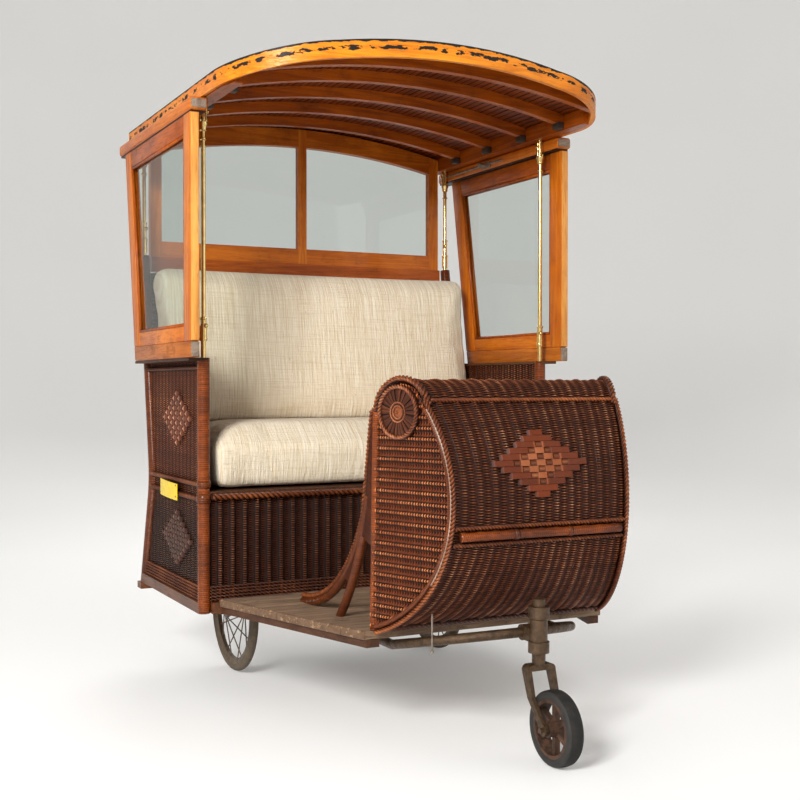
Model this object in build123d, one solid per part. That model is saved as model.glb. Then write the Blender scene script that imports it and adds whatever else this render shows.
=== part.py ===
from build123d import *
import os
from math import atan2, cos, degrees, pi, radians, sin

# Boardwalk rolling chair: a wicker seat for two on a three-wheeled carriage under a glazed canopy
# Millimetres, X across, -Y forward, Z up from the ground, Y measured from the front posts
MIDDLE_SHIFT_Y = 124.5

# Wheels that set the chair's height
WHEEL_RADIUS = 188.0
FRAME_ABOVE_AXLE = 58.0

# Seat box
POST_X = 550.0
POST_RADIUS = 17.0
POST_FOOT_Z = WHEEL_RADIUS + FRAME_ABOVE_AXLE
ARM_HEIGHT = 703.0
ARM_Z = POST_FOOT_Z + ARM_HEIGHT
PANEL_THICKNESS = 14.0
SEAT_HEIGHT = 334.0
SEAT_Z = POST_FOOT_Z + SEAT_HEIGHT
SEAT_DECK_THICKNESS = 22.0
SILL_HEIGHT = 30.0
FRONT_SILL_DEPTH = 60.0
REAR_SILL_DEPTH = 36.0
REAR_FOOT_Y = 606.0
REAR_FOOT_BLOCK = 44.0
REAR_FOOT_DROP = 20.0
REAR_WAIST_Y = 500.0
REAR_TOP_Y = 619.0
REAR_POST_HEIGHT = 1040.0
REAR_TOP_Z = POST_FOOT_Z + REAR_POST_HEIGHT
WAIST_RADIUS = 260.0
BACK_BELOW_TOP = 54.0
BACK_TOP_Z = REAR_TOP_Z - BACK_BELOW_TOP
ARM_RAIL_THICKNESS = 8.0
ARM_RAIL_OUTER_X = 598.0
ARM_RAIL_FRONT_Y = -20.0
ARM_RAIL_REAR_Y = 548.0

# Upright ridges of the woven walls
RIDGE_PITCH = 36.0
BACK_RIDGE_PITCH = 48.0
RIDGE_DEPTH = 4.0
RIDGE_FLANK = 5.0

# Cushions
CUSHION_GAP = 1.0
SEAT_CUSHION_HEIGHT = 190.0
SEAT_CUSHION_FRONT_Y = -18.0
SEAT_CUSHION_CROWN = 58.0
SEAT_CUSHION_END_FALL = 40.0
BACK_CUSHION_DEPTH = 140.0
BACK_CUSHION_OVER_BACK = 40.0
BACK_CUSHION_TOP_Z = BACK_TOP_Z + BACK_CUSHION_OVER_BACK
BACK_CUSHION_ROUND = 46.0
SEAT_CUSHION_ROUND = 34.0

# Floor
FLOOR_ABOVE_FRAME = 40.0
FLOOR_Z = POST_FOOT_Z + FLOOR_ABOVE_FRAME
FLOOR_THICKNESS = 21.0
FLOOR_REAR_X = 515.0
FLOOR_FRONT_X = 346.0
FLOOR_FRONT_Y = -599.0
FLOOR_PLANKS = 7
PLANK_GAP = 2.0
PLANK_GROOVE = 8.0
FLOOR_SILL_WIDTH = 34.0
FLOOR_SILL_HEIGHT = 19.0
FLOOR_SILL_INSET = 8.0

# Dash, drawn forward (D) from its rear edge and up from the floor
DASH_REAR_Y = -592.0
DASH_REAR_X = 328.0
DASH_FRONT_X = 240.0
DASH_DEPTH = 254.0
DASH_BULGE_HEIGHT = 302.0
DASH_BULGE_Z = FLOOR_Z + DASH_BULGE_HEIGHT
DASH_BELLY_D = 194.0
DASH_BELLY_HEIGHT = 126.0
DASH_BELLY_Z = FLOOR_Z + DASH_BELLY_HEIGHT
DASH_TOE_D = 19.0
DASH_ROLL_D = 96.0
DASH_ROLL_HEIGHT = 525.0
DASH_ROLL_Z = FLOOR_Z + DASH_ROLL_HEIGHT
DASH_ROLL_RADIUS = 79.0
DASH_ROLL_JOIN_ANGLE = 20.0
DASH_WALL = 12.0
DASH_SIDE_WALL = 10.0
DASH_POST_RADIUS = 13.0
DASH_BAR_HEIGHT = 245.0
DASH_BAR_Z = FLOOR_Z + DASH_BAR_HEIGHT
DASH_BAR_RADIUS = 12.0
DASH_BAR_HALF = 222.0
ROSETTE_RADIUS = 65.0
ROSETTE_THICKNESS = 8.0
ROSETTE_SPOKES = 12
ROSETTE_RIM = 12.0
ROSETTE_BOSS_RADIUS = 18.0
ROSETTE_RECESS = 3.0
ROSETTE_SPOKE_WIDTH = 6.0
BRACE_RADIUS = 13.0
BRACE_JOIN_HEIGHT = 320.0
BRACE_JOIN_Z = FLOOR_Z + BRACE_JOIN_HEIGHT
BRACE_REAR_FOOT_Y = -150.0
BRACE_FRONT_FOOT_Y = -392.0
BRACE_REAR_BOW = 45.0
BRACE_FRONT_BOW = 18.0

# Windows
WINDOW_OUTER_X = 608.0
WINDOW_THICKNESS = 26.0
WINDOW_FRONT_Y = -70.0
WINDOW_REAR_BOTTOM_Y = 520.0
WINDOW_REAR_TOP_Y = 627.0
BASE_BOARD_HEIGHT = 44.0
WINDOW_HEIGHT = 656.0
WINDOW_TOP_Z = ARM_Z + WINDOW_HEIGHT
WINDOW_STILE = 62.0
WINDOW_HEAD = 50.0
WINDOW_FOOT = 41.0
GLASS_THICKNESS = 4.0
REAR_WINDOW_Y = 628.0
REAR_WINDOW_STILE = 36.0
REAR_WINDOW_HEAD = 60.0
REAR_WINDOW_FOOT = 52.0
REAR_MULLION = 30.0
REAR_RAIL_HEIGHT = 48.0
REAR_RAIL_LAP = 14.0
REAR_ARCH_GAP = 6.0

# Canopy
ROD_RADIUS = 6.5
ROD_FERRULE_RADIUS = 10.0
ROD_FERRULE_HEIGHT = 42.0
ROD_PIN_RADIUS = 7.0
ROD_FRONT_PIN = 46.0
ROD_REAR_PIN = 10.0
ROD_COLLAR_RADIUS = 9.5
ROD_COLLAR_HEIGHT = 14.0
ROD_FORK_HEIGHT = 30.0
ROOF_X = 580.0
ROOF_ABOVE_WINDOW = 85.0
ROOF_EDGE_Z = WINDOW_TOP_Z + ROOF_ABOVE_WINDOW
ROOF_RISE = 74.0
ROOF_CROWN_Z = ROOF_EDGE_Z + ROOF_RISE
ROOF_FRONT_Y = -446.0
ROOF_REAR_Y = 690.0
ROOF_CORNER = 250.0
ROOF_BOW = 26.0
HOOP_THICKNESS = 14.0
HOOP_HEIGHT = 46.0
COVER_THICKNESS = 5.0
SLAT_THICKNESS = 9.0
SLAT_PITCH = 42.0
SLAT_GAP = 2.5
RIB_WIDTH = 24.0
RIB_DEPTH = 30.0
RIB_PLACES_Y = (-330.0, -150.0, 60.0, 270.0, 480.0)
ROOF_RAIL_WIDTH = 40.0
ROOF_RAIL_HEIGHT = 46.0
ROOF_RAIL_FRONT_Y = -262.0
PLATE_FRONT_Y = -81.0
PLATE_OUTER_X = 612.0
PLATE_INNER_X = 560.0

# Carriage
WHEEL_X = 349.0
WHEEL_Y = 328.0
TYRE_RADIUS = 14.0
RIM_WIDTH = 24.0
RIM_DEPTH = 16.0
HUB_RADIUS = 17.0
HUB_LENGTH = 64.0
HUB_FLANGE_RADIUS = 27.0
HUB_FLANGE = 5.0
SPOKE_PAIRS = 10
SPOKE_RADIUS = 1.8
SPOKE_LEAD = 62.0
SPOKE_SEAT = 3.0
AXLE_RADIUS = 9.0
BEARING_GAP = 0.3
AXLE_NUT_RADIUS = 15.0
AXLE_NUT = 14.0
TUBE_RADIUS = 12.0
TUBE_X = 240.0
TUBE_REAR_Y = 590.0
TUBE_BEND_Y = -540.0
TUBE_APEX_Y = -776.0
TUBE_APEX_HEIGHT = 41.0
TUBE_APEX_Z = POST_FOOT_Z + TUBE_APEX_HEIGHT
AXLE_BLOCK = 44.0
AXLE_BLOCK_LIP = 8.0
HEAD_Y = -828.0
HEAD_RADIUS = 20.5
HEAD_COLLAR_RADIUS = 25.0
HEAD_BELOW_TUBE = 39.0
HEAD_BOTTOM_Z = TUBE_APEX_Z - HEAD_BELOW_TUBE
HEAD_LENGTH = 108.0
HEAD_TOP_Z = HEAD_BOTTOM_Z + HEAD_LENGTH
HEAD_COLLAR = 26.0
HEAD_WALL = 6.0
LUG_HALF = 16.0
CLAMP_WALL = 7.0
CLAMP_LENGTH = 30.0
STEM_RADIUS = 12.0
STEM_NUT_RADIUS = 15.0
STEM_NUT = 18.0
STEM_SHOULDER = 4.0
CASTER_TRAIL = 72.0
CASTER_RADIUS = 87.5
CASTER_WIDTH = 40.0
CASTER_TYRE = 16.0
CASTER_SPOKES = 6
CASTER_HUB_RADIUS = 18.0
CASTER_RIM = 12.0
CASTER_SPOKE_WIDTH = 12.0
CASTER_SPOKE_DEPTH = 14.0
FORK_GAP = 8.0
FORK_LEG = 10.0
FORK_LEG_DEPTH = 18.0
FORK_BELOW_HEAD = 26.0
FORK_CROWN_Z = HEAD_BOTTOM_Z - FORK_BELOW_HEAD
FORK_CROWN = 14.0
CASTER_PIN_RADIUS = 6.0
CASTER_PIN_END = 8.0

# Push handle
HANDLE_HEIGHT = 764.0
HANDLE_Z = POST_FOOT_Z + HANDLE_HEIGHT
HANDLE_HALF = 430.0
HANDLE_RADIUS = 16.0
HANDLE_REACH = 150.0
HANDLE_ARM_X = 360.0
HANDLE_ARM_RADIUS = 11.0

nodes = {}


def keep(name, *solids):
    """Store the solids of one named piece, moved so that the chair stands over the origin."""
    nodes[name] = [Pos(0, MIDDLE_SHIFT_Y, 0) * solid for solid in solids]


def block(x0, x1, y0, y1, z0, z1):
    """A box between two corners."""
    return Pos((x0 + x1) / 2, (y0 + y1) / 2, (z0 + z1) / 2) * Box(x1 - x0, y1 - y0, z1 - z0)


def across(face, x0, x1):
    """Extrude a face drawn in (Y, Z) from x0 to x1."""
    return Pos(x0, 0, 0) * extrude(Plane.YZ * face, amount=x1 - x0)


def along(face, y0, y1):
    """Extrude a face drawn in (X, Z) from y0 to y1."""
    return Pos(0, y1, 0) * extrude(Plane.XZ * face, amount=y1 - y0)


def upright(face, z0, z1):
    """Extrude a plan drawn in (X, Y) from z0 to z1."""
    return Pos(0, 0, z0) * extrude(face, amount=z1 - z0)


def pole(start, end, radius):
    """A round bar between two points."""
    start, end = Vector(*start), Vector(*end)
    reach = end - start
    return extrude(Plane(origin=start, z_dir=reach) * Circle(radius), amount=reach.length)


def tube(path, radius):
    """A round bar along a path."""
    return sweep(Plane(origin=path @ 0, z_dir=path % 0) * Circle(radius), path=path)


def spun(profile, axis_point, axis):
    """Turn a closed list of (radius, height) points about an axis."""
    turned = revolve(Plane.XZ * make_face(Polyline(*profile, close=True)), Axis.Z)
    return Plane(origin=axis_point, z_dir=axis) * turned


def two(solid):
    """A solid of the left side and its mirror image."""
    return solid, mirror(solid, about=Plane.YZ)


def one(shape):
    """The largest solid of a cut shape."""
    return max(shape.solids(), key=lambda piece: piece.volume)


def rear_line(offset):
    """Rear post line in (Y, Z), moved forward by an offset."""
    foot = (REAR_FOOT_Y - offset, POST_FOOT_Z)
    waist = (REAR_WAIST_Y - offset, SEAT_Z)
    top = (REAR_TOP_Y - offset, REAR_TOP_Z)
    return FilletPolyline(foot, waist, top, radius=WAIST_RADIUS)


def rear_y(z):
    """Y of the straight part of the rear posts at a height."""
    return REAR_WAIST_Y + (REAR_TOP_Y - REAR_WAIST_Y) * (z - SEAT_Z) / (REAR_TOP_Z - SEAT_Z)


# Posts of the seat box
def make_posts():
    front = pole((-POST_X, 0, POST_FOOT_Z), (-POST_X, 0, ARM_Z), POST_RADIUS)
    keep("front_posts", *two(front))
    foot = (-POST_X, REAR_FOOT_Y, POST_FOOT_Z)
    waist = (-POST_X, REAR_WAIST_Y, SEAT_Z)
    past = rear_y(REAR_TOP_Z + POST_RADIUS)
    top = (-POST_X, past, REAR_TOP_Z + POST_RADIUS)
    rear = tube(FilletPolyline(foot, waist, top, radius=WAIST_RADIUS), POST_RADIUS)
    rear = one(rear & block(-POST_X * 2, 0, 0, past * 2, POST_FOOT_Z, REAR_TOP_Z))
    keep("rear_posts", *two(rear))
    return front, rear


front_post, rear_post = make_posts()
sill_top = POST_FOOT_Z + SILL_HEIGHT
half_panel = PANEL_THICKNESS / 2
panel_inner_x = POST_X - half_panel


def ridge_corners(first, count, pitch):
    """Corners of a row of flat-topped ridges, as (place along the wall, depth below the tops)."""
    half_top = (pitch / 2 - RIDGE_FLANK) / 2
    half_foot = half_top + RIDGE_FLANK
    corners = []
    for ridge in range(count):
        middle = first + pitch * ridge
        corners.append((middle - half_foot, RIDGE_DEPTH))
        corners.append((middle - half_top, 0.0))
        corners.append((middle + half_top, 0.0))
        corners.append((middle + half_foot, RIDGE_DEPTH))
    return corners


# Wicker panels with upright ridges outside
def make_side():
    edge = rear_line(0)
    profile = edge + Line(edge @ 1, (0, REAR_TOP_Z)) + Line((0, REAR_TOP_Z), (0, POST_FOOT_Z))
    profile += Line((0, POST_FOOT_Z), edge @ 0)
    side = across(make_face(profile), -POST_X - half_panel, -POST_X + half_panel)
    outer = -POST_X - half_panel
    ridges = ridge_corners(POST_RADIUS, int(REAR_FOOT_Y / RIDGE_PITCH), RIDGE_PITCH)
    plan = [(outer + RIDGE_DEPTH, 0)]
    plan += [(outer + depth, place) for place, depth in ridges]
    plan += [(outer + RIDGE_DEPTH, REAR_FOOT_Y), (-panel_inner_x, REAR_FOOT_Y), (-panel_inner_x, 0)]
    wall = upright(make_face(Polyline(*plan, close=True)), sill_top, ARM_Z - ARM_RAIL_THICKNESS)
    side = one((side & wall) - front_post - rear_post)
    keep("wicker_side_left", side)
    keep("wicker_side_right", mirror(side, about=Plane.YZ))
    return side


def make_apron():
    each_way = int((POST_X - POST_RADIUS - RIDGE_PITCH / 2) / RIDGE_PITCH)
    ridges = ridge_corners(-each_way * RIDGE_PITCH, each_way * 2 + 1, RIDGE_PITCH)
    plan = [(-POST_X, RIDGE_DEPTH - half_panel)]
    plan += [(place, depth - half_panel) for place, depth in ridges]
    plan += [(POST_X, RIDGE_DEPTH - half_panel), (POST_X, half_panel), (-POST_X, half_panel)]
    apron = upright(make_face(Polyline(*plan, close=True)), sill_top, SEAT_Z - SEAT_DECK_THICKNESS)
    for post in two(front_post):
        apron -= post
    for panel in two(side_panel):
        apron -= panel
    keep("wicker_apron", one(apron))


def make_back():
    rear_face = half_panel - RIDGE_DEPTH
    back_line = rear_line(half_panel) + Line(rear_line(half_panel) @ 1, rear_line(-rear_face) @ 1)
    back_line += rear_line(-rear_face) + Line(rear_line(half_panel) @ 0, rear_line(-rear_face) @ 0)
    back = across(make_face(back_line), -POST_X, POST_X)
    each_way = int((POST_X - POST_RADIUS - BACK_RIDGE_PITCH / 2) / BACK_RIDGE_PITCH)
    path = Plane.YZ * rear_line(-rear_face)
    seat = Plane(origin=path @ 0, x_dir=(1, 0, 0), z_dir=path % 0)
    for ridge in range(-each_way, each_way + 1):
        corners = ridge_corners(ridge * BACK_RIDGE_PITCH, 1, BACK_RIDGE_PITCH)
        outline = [(place, RIDGE_DEPTH - depth) for place, depth in corners]
        outline += [(corners[-1][0], -rear_face), (corners[0][0], -rear_face)]
        back += sweep(seat * make_face(Polyline(*outline, close=True)), path=path)
    back &= block(-POST_X, POST_X, 0, REAR_FOOT_Y * 2, sill_top, BACK_TOP_Z)
    for post in two(rear_post):
        back -= post
    for panel in two(side_panel):
        back -= panel
    back = one(back)
    keep("wicker_back", back)
    return back


side_panel = make_side()
make_apron()
back_panel = make_back()


# Wooden sills, seat deck and arm rails
def make_sills():
    base = block(-POST_X - POST_RADIUS, -POST_X + POST_RADIUS, 0, REAR_FOOT_Y, POST_FOOT_Z, sill_top)
    base = one(base - front_post - rear_post)
    keep("side_sills", *two(base))
    span = POST_X - POST_RADIUS
    front_y = POST_RADIUS * 2 - FRONT_SILL_DEPTH
    front = block(-span, span, front_y, front_y + FRONT_SILL_DEPTH, POST_FOOT_Z, sill_top)
    rear = block(-span, span, REAR_FOOT_Y - REAR_SILL_DEPTH, REAR_FOOT_Y, POST_FOOT_Z, sill_top)
    rear = one(rear - back_panel)
    keep("cross_sills", front, rear)
    foot = block(-POST_X - REAR_FOOT_BLOCK / 2, -POST_X + REAR_FOOT_BLOCK / 2,
                 REAR_FOOT_Y - REAR_FOOT_BLOCK / 2, REAR_FOOT_Y + REAR_FOOT_BLOCK / 2,
                 POST_FOOT_Z - REAR_FOOT_DROP, POST_FOOT_Z)
    keep("rear_feet", *two(foot))
    deck = block(-panel_inner_x, panel_inner_x, -half_panel, REAR_FOOT_Y,
                 SEAT_Z - SEAT_DECK_THICKNESS, SEAT_Z)
    inside = rear_line(half_panel)
    corner = (REAR_FOOT_Y * 2, REAR_TOP_Z)
    beyond = inside + Line(inside @ 1, corner) + Line(corner, (corner[0], POST_FOOT_Z))
    beyond += Line((corner[0], POST_FOOT_Z), inside @ 0)
    deck -= across(make_face(beyond), -POST_X, POST_X)
    for post in two(front_post) + two(rear_post):
        deck -= post
    keep("seat_deck", one(deck))
    arm = block(-ARM_RAIL_OUTER_X, -panel_inner_x, ARM_RAIL_FRONT_Y, ARM_RAIL_REAR_Y,
                ARM_Z - ARM_RAIL_THICKNESS, ARM_Z)
    keep("arm_rails", *two(one(arm - front_post - rear_post)))


make_sills()


# Cushions
def make_cushions():
    half = panel_inner_x - CUSHION_GAP
    bottom = SEAT_Z + CUSHION_GAP / 2
    top = SEAT_Z + SEAT_CUSHION_HEIGHT
    front = SEAT_CUSHION_FRONT_Y
    rear = REAR_WAIST_Y - POST_RADIUS - CUSHION_GAP
    side = top - SEAT_CUSHION_CROWN
    crown = ThreePointArc((front, side), ((front + rear) / 2, top), (rear, side))
    profile = crown + Polyline((rear, side), (rear, bottom), (front, bottom), (front, side))
    seat = across(make_face(profile), -half, half)
    end = top - SEAT_CUSHION_END_FALL
    arch = ThreePointArc((-half, end), (0, top), (half, end))
    arch += Polyline((half, end), (half, bottom), (-half, bottom), (-half, end))
    seat &= extrude(Plane.XZ * make_face(arch), amount=front - rear, both=True)
    front_edges = seat.edges().filter_by(Axis.X).group_by(Axis.Y)[0]
    seat = fillet(front_edges.sort_by(Axis.Z)[-1:], SEAT_CUSHION_ROUND)
    for post in two(front_post):
        seat -= post
    keep("seat_cushion", one(seat))
    low = side + CUSHION_GAP
    high = BACK_CUSHION_TOP_Z
    behind = half_panel + CUSHION_GAP * 4
    outline = Polyline((rear_y(low) - behind, low), (rear_y(high) - behind, high),
                       (rear_y(high) - behind - BACK_CUSHION_DEPTH, high),
                       (rear_y(low) - behind - BACK_CUSHION_DEPTH, low), close=True)
    back = across(make_face(outline), -half, half)
    top_edges = back.edges().filter_by(Axis.X).group_by(Axis.Z)[-1]
    back = fillet(top_edges, BACK_CUSHION_ROUND)
    back -= Pos(0, 0, CUSHION_GAP) * seat
    for post in two(rear_post):
        back -= post
    keep("back_cushion", one(back))


make_cushions()


# Floor boards on their sills
def make_floor():
    rear = POST_RADIUS * 2 - FRONT_SILL_DEPTH
    plan = make_face(Polyline((-FLOOR_REAR_X, rear), (FLOOR_REAR_X, rear), (FLOOR_FRONT_X, FLOOR_FRONT_Y),
                              (-FLOOR_FRONT_X, FLOOR_FRONT_Y), close=True))
    boards = upright(plan, FLOOR_Z - FLOOR_THICKNESS, FLOOR_Z)
    length = rear - FLOOR_FRONT_Y
    pitch = length / FLOOR_PLANKS
    for plank in range(1, FLOOR_PLANKS):
        y = FLOOR_FRONT_Y + plank * pitch
        boards -= block(-FLOOR_REAR_X, FLOOR_REAR_X, y - PLANK_GAP / 2, y + PLANK_GAP / 2,
                        FLOOR_Z - PLANK_GROOVE, FLOOR_Z)
    keep("floor_boards", one(boards))
    outer = FLOOR_SILL_INSET
    inner = FLOOR_SILL_INSET + FLOOR_SILL_WIDTH
    strip = make_face(Polyline((-FLOOR_REAR_X + outer, rear), (-FLOOR_REAR_X + inner, rear),
                               (-FLOOR_FRONT_X + inner, FLOOR_FRONT_Y),
                               (-FLOOR_FRONT_X + outer, FLOOR_FRONT_Y), close=True))
    top = FLOOR_Z - FLOOR_THICKNESS
    keep("floor_sills", *two(upright(strip, top - FLOOR_SILL_HEIGHT, top)))


make_floor()


# Dash: a wicker hood with a rolled top, open to the rear
def dash_point(d, z):
    """A point of the dash profile in (Y, Z)."""
    return (DASH_REAR_Y - d, z)


def dash_profile():
    """The outline of the dash seen from the side."""
    heel = dash_point(0, FLOOR_Z)
    toe = dash_point(DASH_TOE_D, FLOOR_Z)
    belly = dash_point(DASH_BELLY_D, DASH_BELLY_Z)
    bulge = dash_point(DASH_DEPTH, DASH_BULGE_Z)
    join_angle = radians(DASH_ROLL_JOIN_ANGLE)
    join = dash_point(DASH_ROLL_D + DASH_ROLL_RADIUS * cos(join_angle),
                      DASH_ROLL_Z + DASH_ROLL_RADIUS * sin(join_angle))
    crown = dash_point(DASH_ROLL_D, DASH_ROLL_Z + DASH_ROLL_RADIUS)
    lip = dash_point(DASH_ROLL_D - DASH_ROLL_RADIUS, DASH_ROLL_Z)
    under = ThreePointArc(toe, belly, bulge)
    face = TangentArc(bulge, join, tangent=under % 1)
    roll = ThreePointArc(join, crown, lip)
    return make_face(Line(heel, toe) + under + face + roll + Line(lip, heel))


def dash_plan(inset):
    """The tapering plan of the dash, drawn in by an inset and run past both ends."""
    slope = (DASH_REAR_X - DASH_FRONT_X) / DASH_DEPTH
    past = DASH_DEPTH / 2
    rear_x = DASH_REAR_X - inset + slope * past
    front_x = DASH_FRONT_X - inset - slope * past
    rear = DASH_REAR_Y + past
    front = DASH_REAR_Y - DASH_DEPTH - past
    return upright(make_face(Polyline((-rear_x, rear), (rear_x, rear), (front_x, front), (-front_x, front),
                                      close=True)), 0, DASH_ROLL_Z * 2)


def dash_post():
    """The left post along the dash's rear edge, standing on the floor."""
    x = -DASH_REAR_X + DASH_POST_RADIUS
    lip_y, lip_z = dash_point(DASH_ROLL_D - DASH_ROLL_RADIUS, DASH_ROLL_Z - DASH_WALL)
    lean = (lip_y - DASH_REAR_Y) / (lip_z - FLOOR_Z)
    low = FLOOR_Z - DASH_POST_RADIUS
    post = pole((x, DASH_REAR_Y - lean * DASH_POST_RADIUS, low), (x, lip_y, lip_z), DASH_POST_RADIUS)
    return one(post & block(x * 2, 0, DASH_REAR_Y * 2, 0, FLOOR_Z, lip_z + DASH_WALL))


def make_dash():
    profile = dash_profile()
    lip_y, lip_z = dash_point(DASH_ROLL_D - DASH_ROLL_RADIUS, DASH_ROLL_Z)
    past_x = DASH_REAR_X * 1.2
    past_y = DASH_WALL * 3
    whole = across(profile, -past_x, past_x)
    hollow = across(offset(profile, -DASH_WALL), -past_x, past_x)
    mouth = make_face(Polyline((DASH_REAR_Y + past_y, FLOOR_Z + DASH_WALL), (lip_y + past_y, lip_z),
                               (lip_y - DASH_WALL * 2, lip_z),
                               (DASH_REAR_Y - DASH_WALL * 2, FLOOR_Z + DASH_WALL), close=True))
    hollow += across(mouth, -past_x, past_x)
    wide = dash_plan(0)
    post = dash_post()
    shell = (whole - hollow) & wide
    sides = ((whole & hollow) & wide) - dash_plan(DASH_SIDE_WALL)
    for side in two(post):
        shell -= side
        sides -= side
    keep("dash_shell", one(shell))
    left, right = sorted(sides.solids().sort_by(SortBy.VOLUME)[-2:], key=lambda piece: piece.center().X)
    keep("dash_side_left", left)
    keep("dash_side_right", right)
    keep("dash_posts", *two(post))
    bar_y = front_face_y(DASH_BAR_Z) - DASH_BAR_RADIUS * 0.5
    bar = pole((-DASH_BAR_HALF, bar_y, DASH_BAR_Z), (DASH_BAR_HALF, bar_y, DASH_BAR_Z), DASH_BAR_RADIUS)
    keep("dash_bar", one(bar - shell))
    turn = degrees(atan2(DASH_REAR_X - DASH_FRONT_X, DASH_DEPTH))
    centre_y, centre_z = dash_point(DASH_ROLL_D, DASH_ROLL_Z)
    centre_x = DASH_REAR_X - (DASH_REAR_X - DASH_FRONT_X) * DASH_ROLL_D / DASH_DEPTH
    disc = Cylinder(ROSETTE_RADIUS, ROSETTE_THICKNESS, align=(Align.CENTER, Align.CENTER, Align.MIN))
    rim = ROSETTE_RADIUS - ROSETTE_RIM
    boss = ROSETTE_BOSS_RADIUS
    dish = Cylinder(rim, ROSETTE_RECESS * 2) - Cylinder(boss, ROSETTE_RECESS * 2)
    disc -= Pos(0, 0, ROSETTE_THICKNESS) * dish
    arm_box = Box(rim - boss + ROSETTE_RECESS, ROSETTE_SPOKE_WIDTH, ROSETTE_RECESS * 2)
    for spoke in range(ROSETTE_SPOKES):
        arm = Pos((rim + boss) / 2, 0, ROSETTE_THICKNESS - ROSETTE_RECESS * 1.4) * arm_box
        disc += Rot(0, 0, spoke * 360 / ROSETTE_SPOKES) * arm
    rosette = Pos(-centre_x, centre_y, centre_z) * Rot(0, 0, turn) * Rot(0, -90, 0) * disc
    keep("dash_rosettes", *two(rosette))


def front_face_y(z):
    """Y of the dash's outside at a height below its bulge."""
    toe = dash_point(DASH_TOE_D, FLOOR_Z)
    belly = dash_point(DASH_BELLY_D, DASH_BELLY_Z)
    bulge = dash_point(DASH_DEPTH, DASH_BULGE_Z)
    under = ThreePointArc(toe, belly, bulge)
    centre = under.arc_center
    reach = under.radius
    return centre.X - (reach**2 - (z - centre.Y) ** 2) ** 0.5


make_dash()


# Stays from the floor to the dash
def make_braces():
    join_y = DASH_REAR_Y + BRACE_RADIUS * 2
    x = -DASH_REAR_X + DASH_POST_RADIUS
    rear_foot = (x, BRACE_REAR_FOOT_Y, FLOOR_Z)
    front_foot = (x, BRACE_FRONT_FOOT_Y, FLOOR_Z)
    join = (x, join_y, BRACE_JOIN_Z)
    knee = (x, (BRACE_REAR_FOOT_Y + join_y) / 2 - BRACE_REAR_BOW, FLOOR_Z + (BRACE_JOIN_Z - FLOOR_Z) * 0.28)
    rear_stay = tube(ThreePointArc(rear_foot, knee, join), BRACE_RADIUS)
    shin_y = (BRACE_FRONT_FOOT_Y + join_y) / 2 - BRACE_FRONT_BOW
    shin = (x, shin_y, FLOOR_Z + BRACE_JOIN_HEIGHT * 0.45)
    front_stay = tube(ThreePointArc(front_foot, shin, join), BRACE_RADIUS)
    stays = rear_stay + front_stay
    stays -= block(x * 2, 0, DASH_REAR_Y * 2, REAR_FOOT_Y, 0, FLOOR_Z)
    stays = one(stays - dash_post())
    keep("dash_braces", *two(stays))


make_braces()


# Side windows on their base boards
def make_side_windows():
    outer = -WINDOW_OUTER_X
    inner = -WINDOW_OUTER_X + WINDOW_THICKNESS
    board_top = ARM_Z + BASE_BOARD_HEIGHT
    lean = (WINDOW_REAR_TOP_Y - WINDOW_REAR_BOTTOM_Y) / (WINDOW_TOP_Z - ARM_Z)

    def rear_edge(z):
        return WINDOW_REAR_BOTTOM_Y + lean * (z - ARM_Z)

    board = make_face(Polyline((WINDOW_FRONT_Y, ARM_Z), (rear_edge(ARM_Z), ARM_Z),
                               (rear_edge(board_top), board_top), (WINDOW_FRONT_Y, board_top), close=True))
    keep("base_boards", *two(across(board, outer, inner)))
    frame = make_face(Polyline((WINDOW_FRONT_Y, board_top), (rear_edge(board_top), board_top),
                               (rear_edge(WINDOW_TOP_Z), WINDOW_TOP_Z), (WINDOW_FRONT_Y, WINDOW_TOP_Z),
                               close=True))
    foot = board_top + WINDOW_FOOT
    head = WINDOW_TOP_Z - WINDOW_HEAD
    light = make_face(Polyline((WINDOW_FRONT_Y + WINDOW_STILE, foot), (rear_edge(foot) - WINDOW_STILE, foot),
                               (rear_edge(head) - WINDOW_STILE, head), (WINDOW_FRONT_Y + WINDOW_STILE, head),
                               close=True))
    sash = across(frame, outer, inner) - across(light, outer, inner)
    keep("side_window_left", sash)
    keep("side_window_right", mirror(sash, about=Plane.YZ))
    middle = (outer + inner) / 2
    pane = across(light, middle - GLASS_THICKNESS / 2, middle + GLASS_THICKNESS / 2)
    keep("side_glass", *two(pane))


make_side_windows()


rail_outer = ROOF_X - HOOP_THICKNESS
rail_inner = rail_outer - ROOF_RAIL_WIDTH


# Arched roof
def roof_arc(drop):
    """The roof's arch across X, run past both edges and lowered by a drop."""
    rise = ROOF_CROWN_Z - ROOF_EDGE_Z
    radius = (ROOF_X**2 + rise**2) / (2 * rise)
    reach = ROOF_X + ROOF_RAIL_WIDTH
    end = ROOF_CROWN_Z - radius + (radius**2 - reach**2) ** 0.5 - drop
    return ThreePointArc((-reach, end), (0, ROOF_CROWN_Z - drop), (reach, end))


def roof_layer(top_drop, bottom_drop):
    """An arched layer of the roof, run past both ends."""
    top = roof_arc(top_drop)
    bottom = roof_arc(bottom_drop)
    face = make_face(top + Line(top @ 1, bottom @ 1) + bottom + Line(bottom @ 0, top @ 0))
    return along(face, ROOF_FRONT_Y * 1.5, ROOF_REAR_Y * 1.5)


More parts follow.
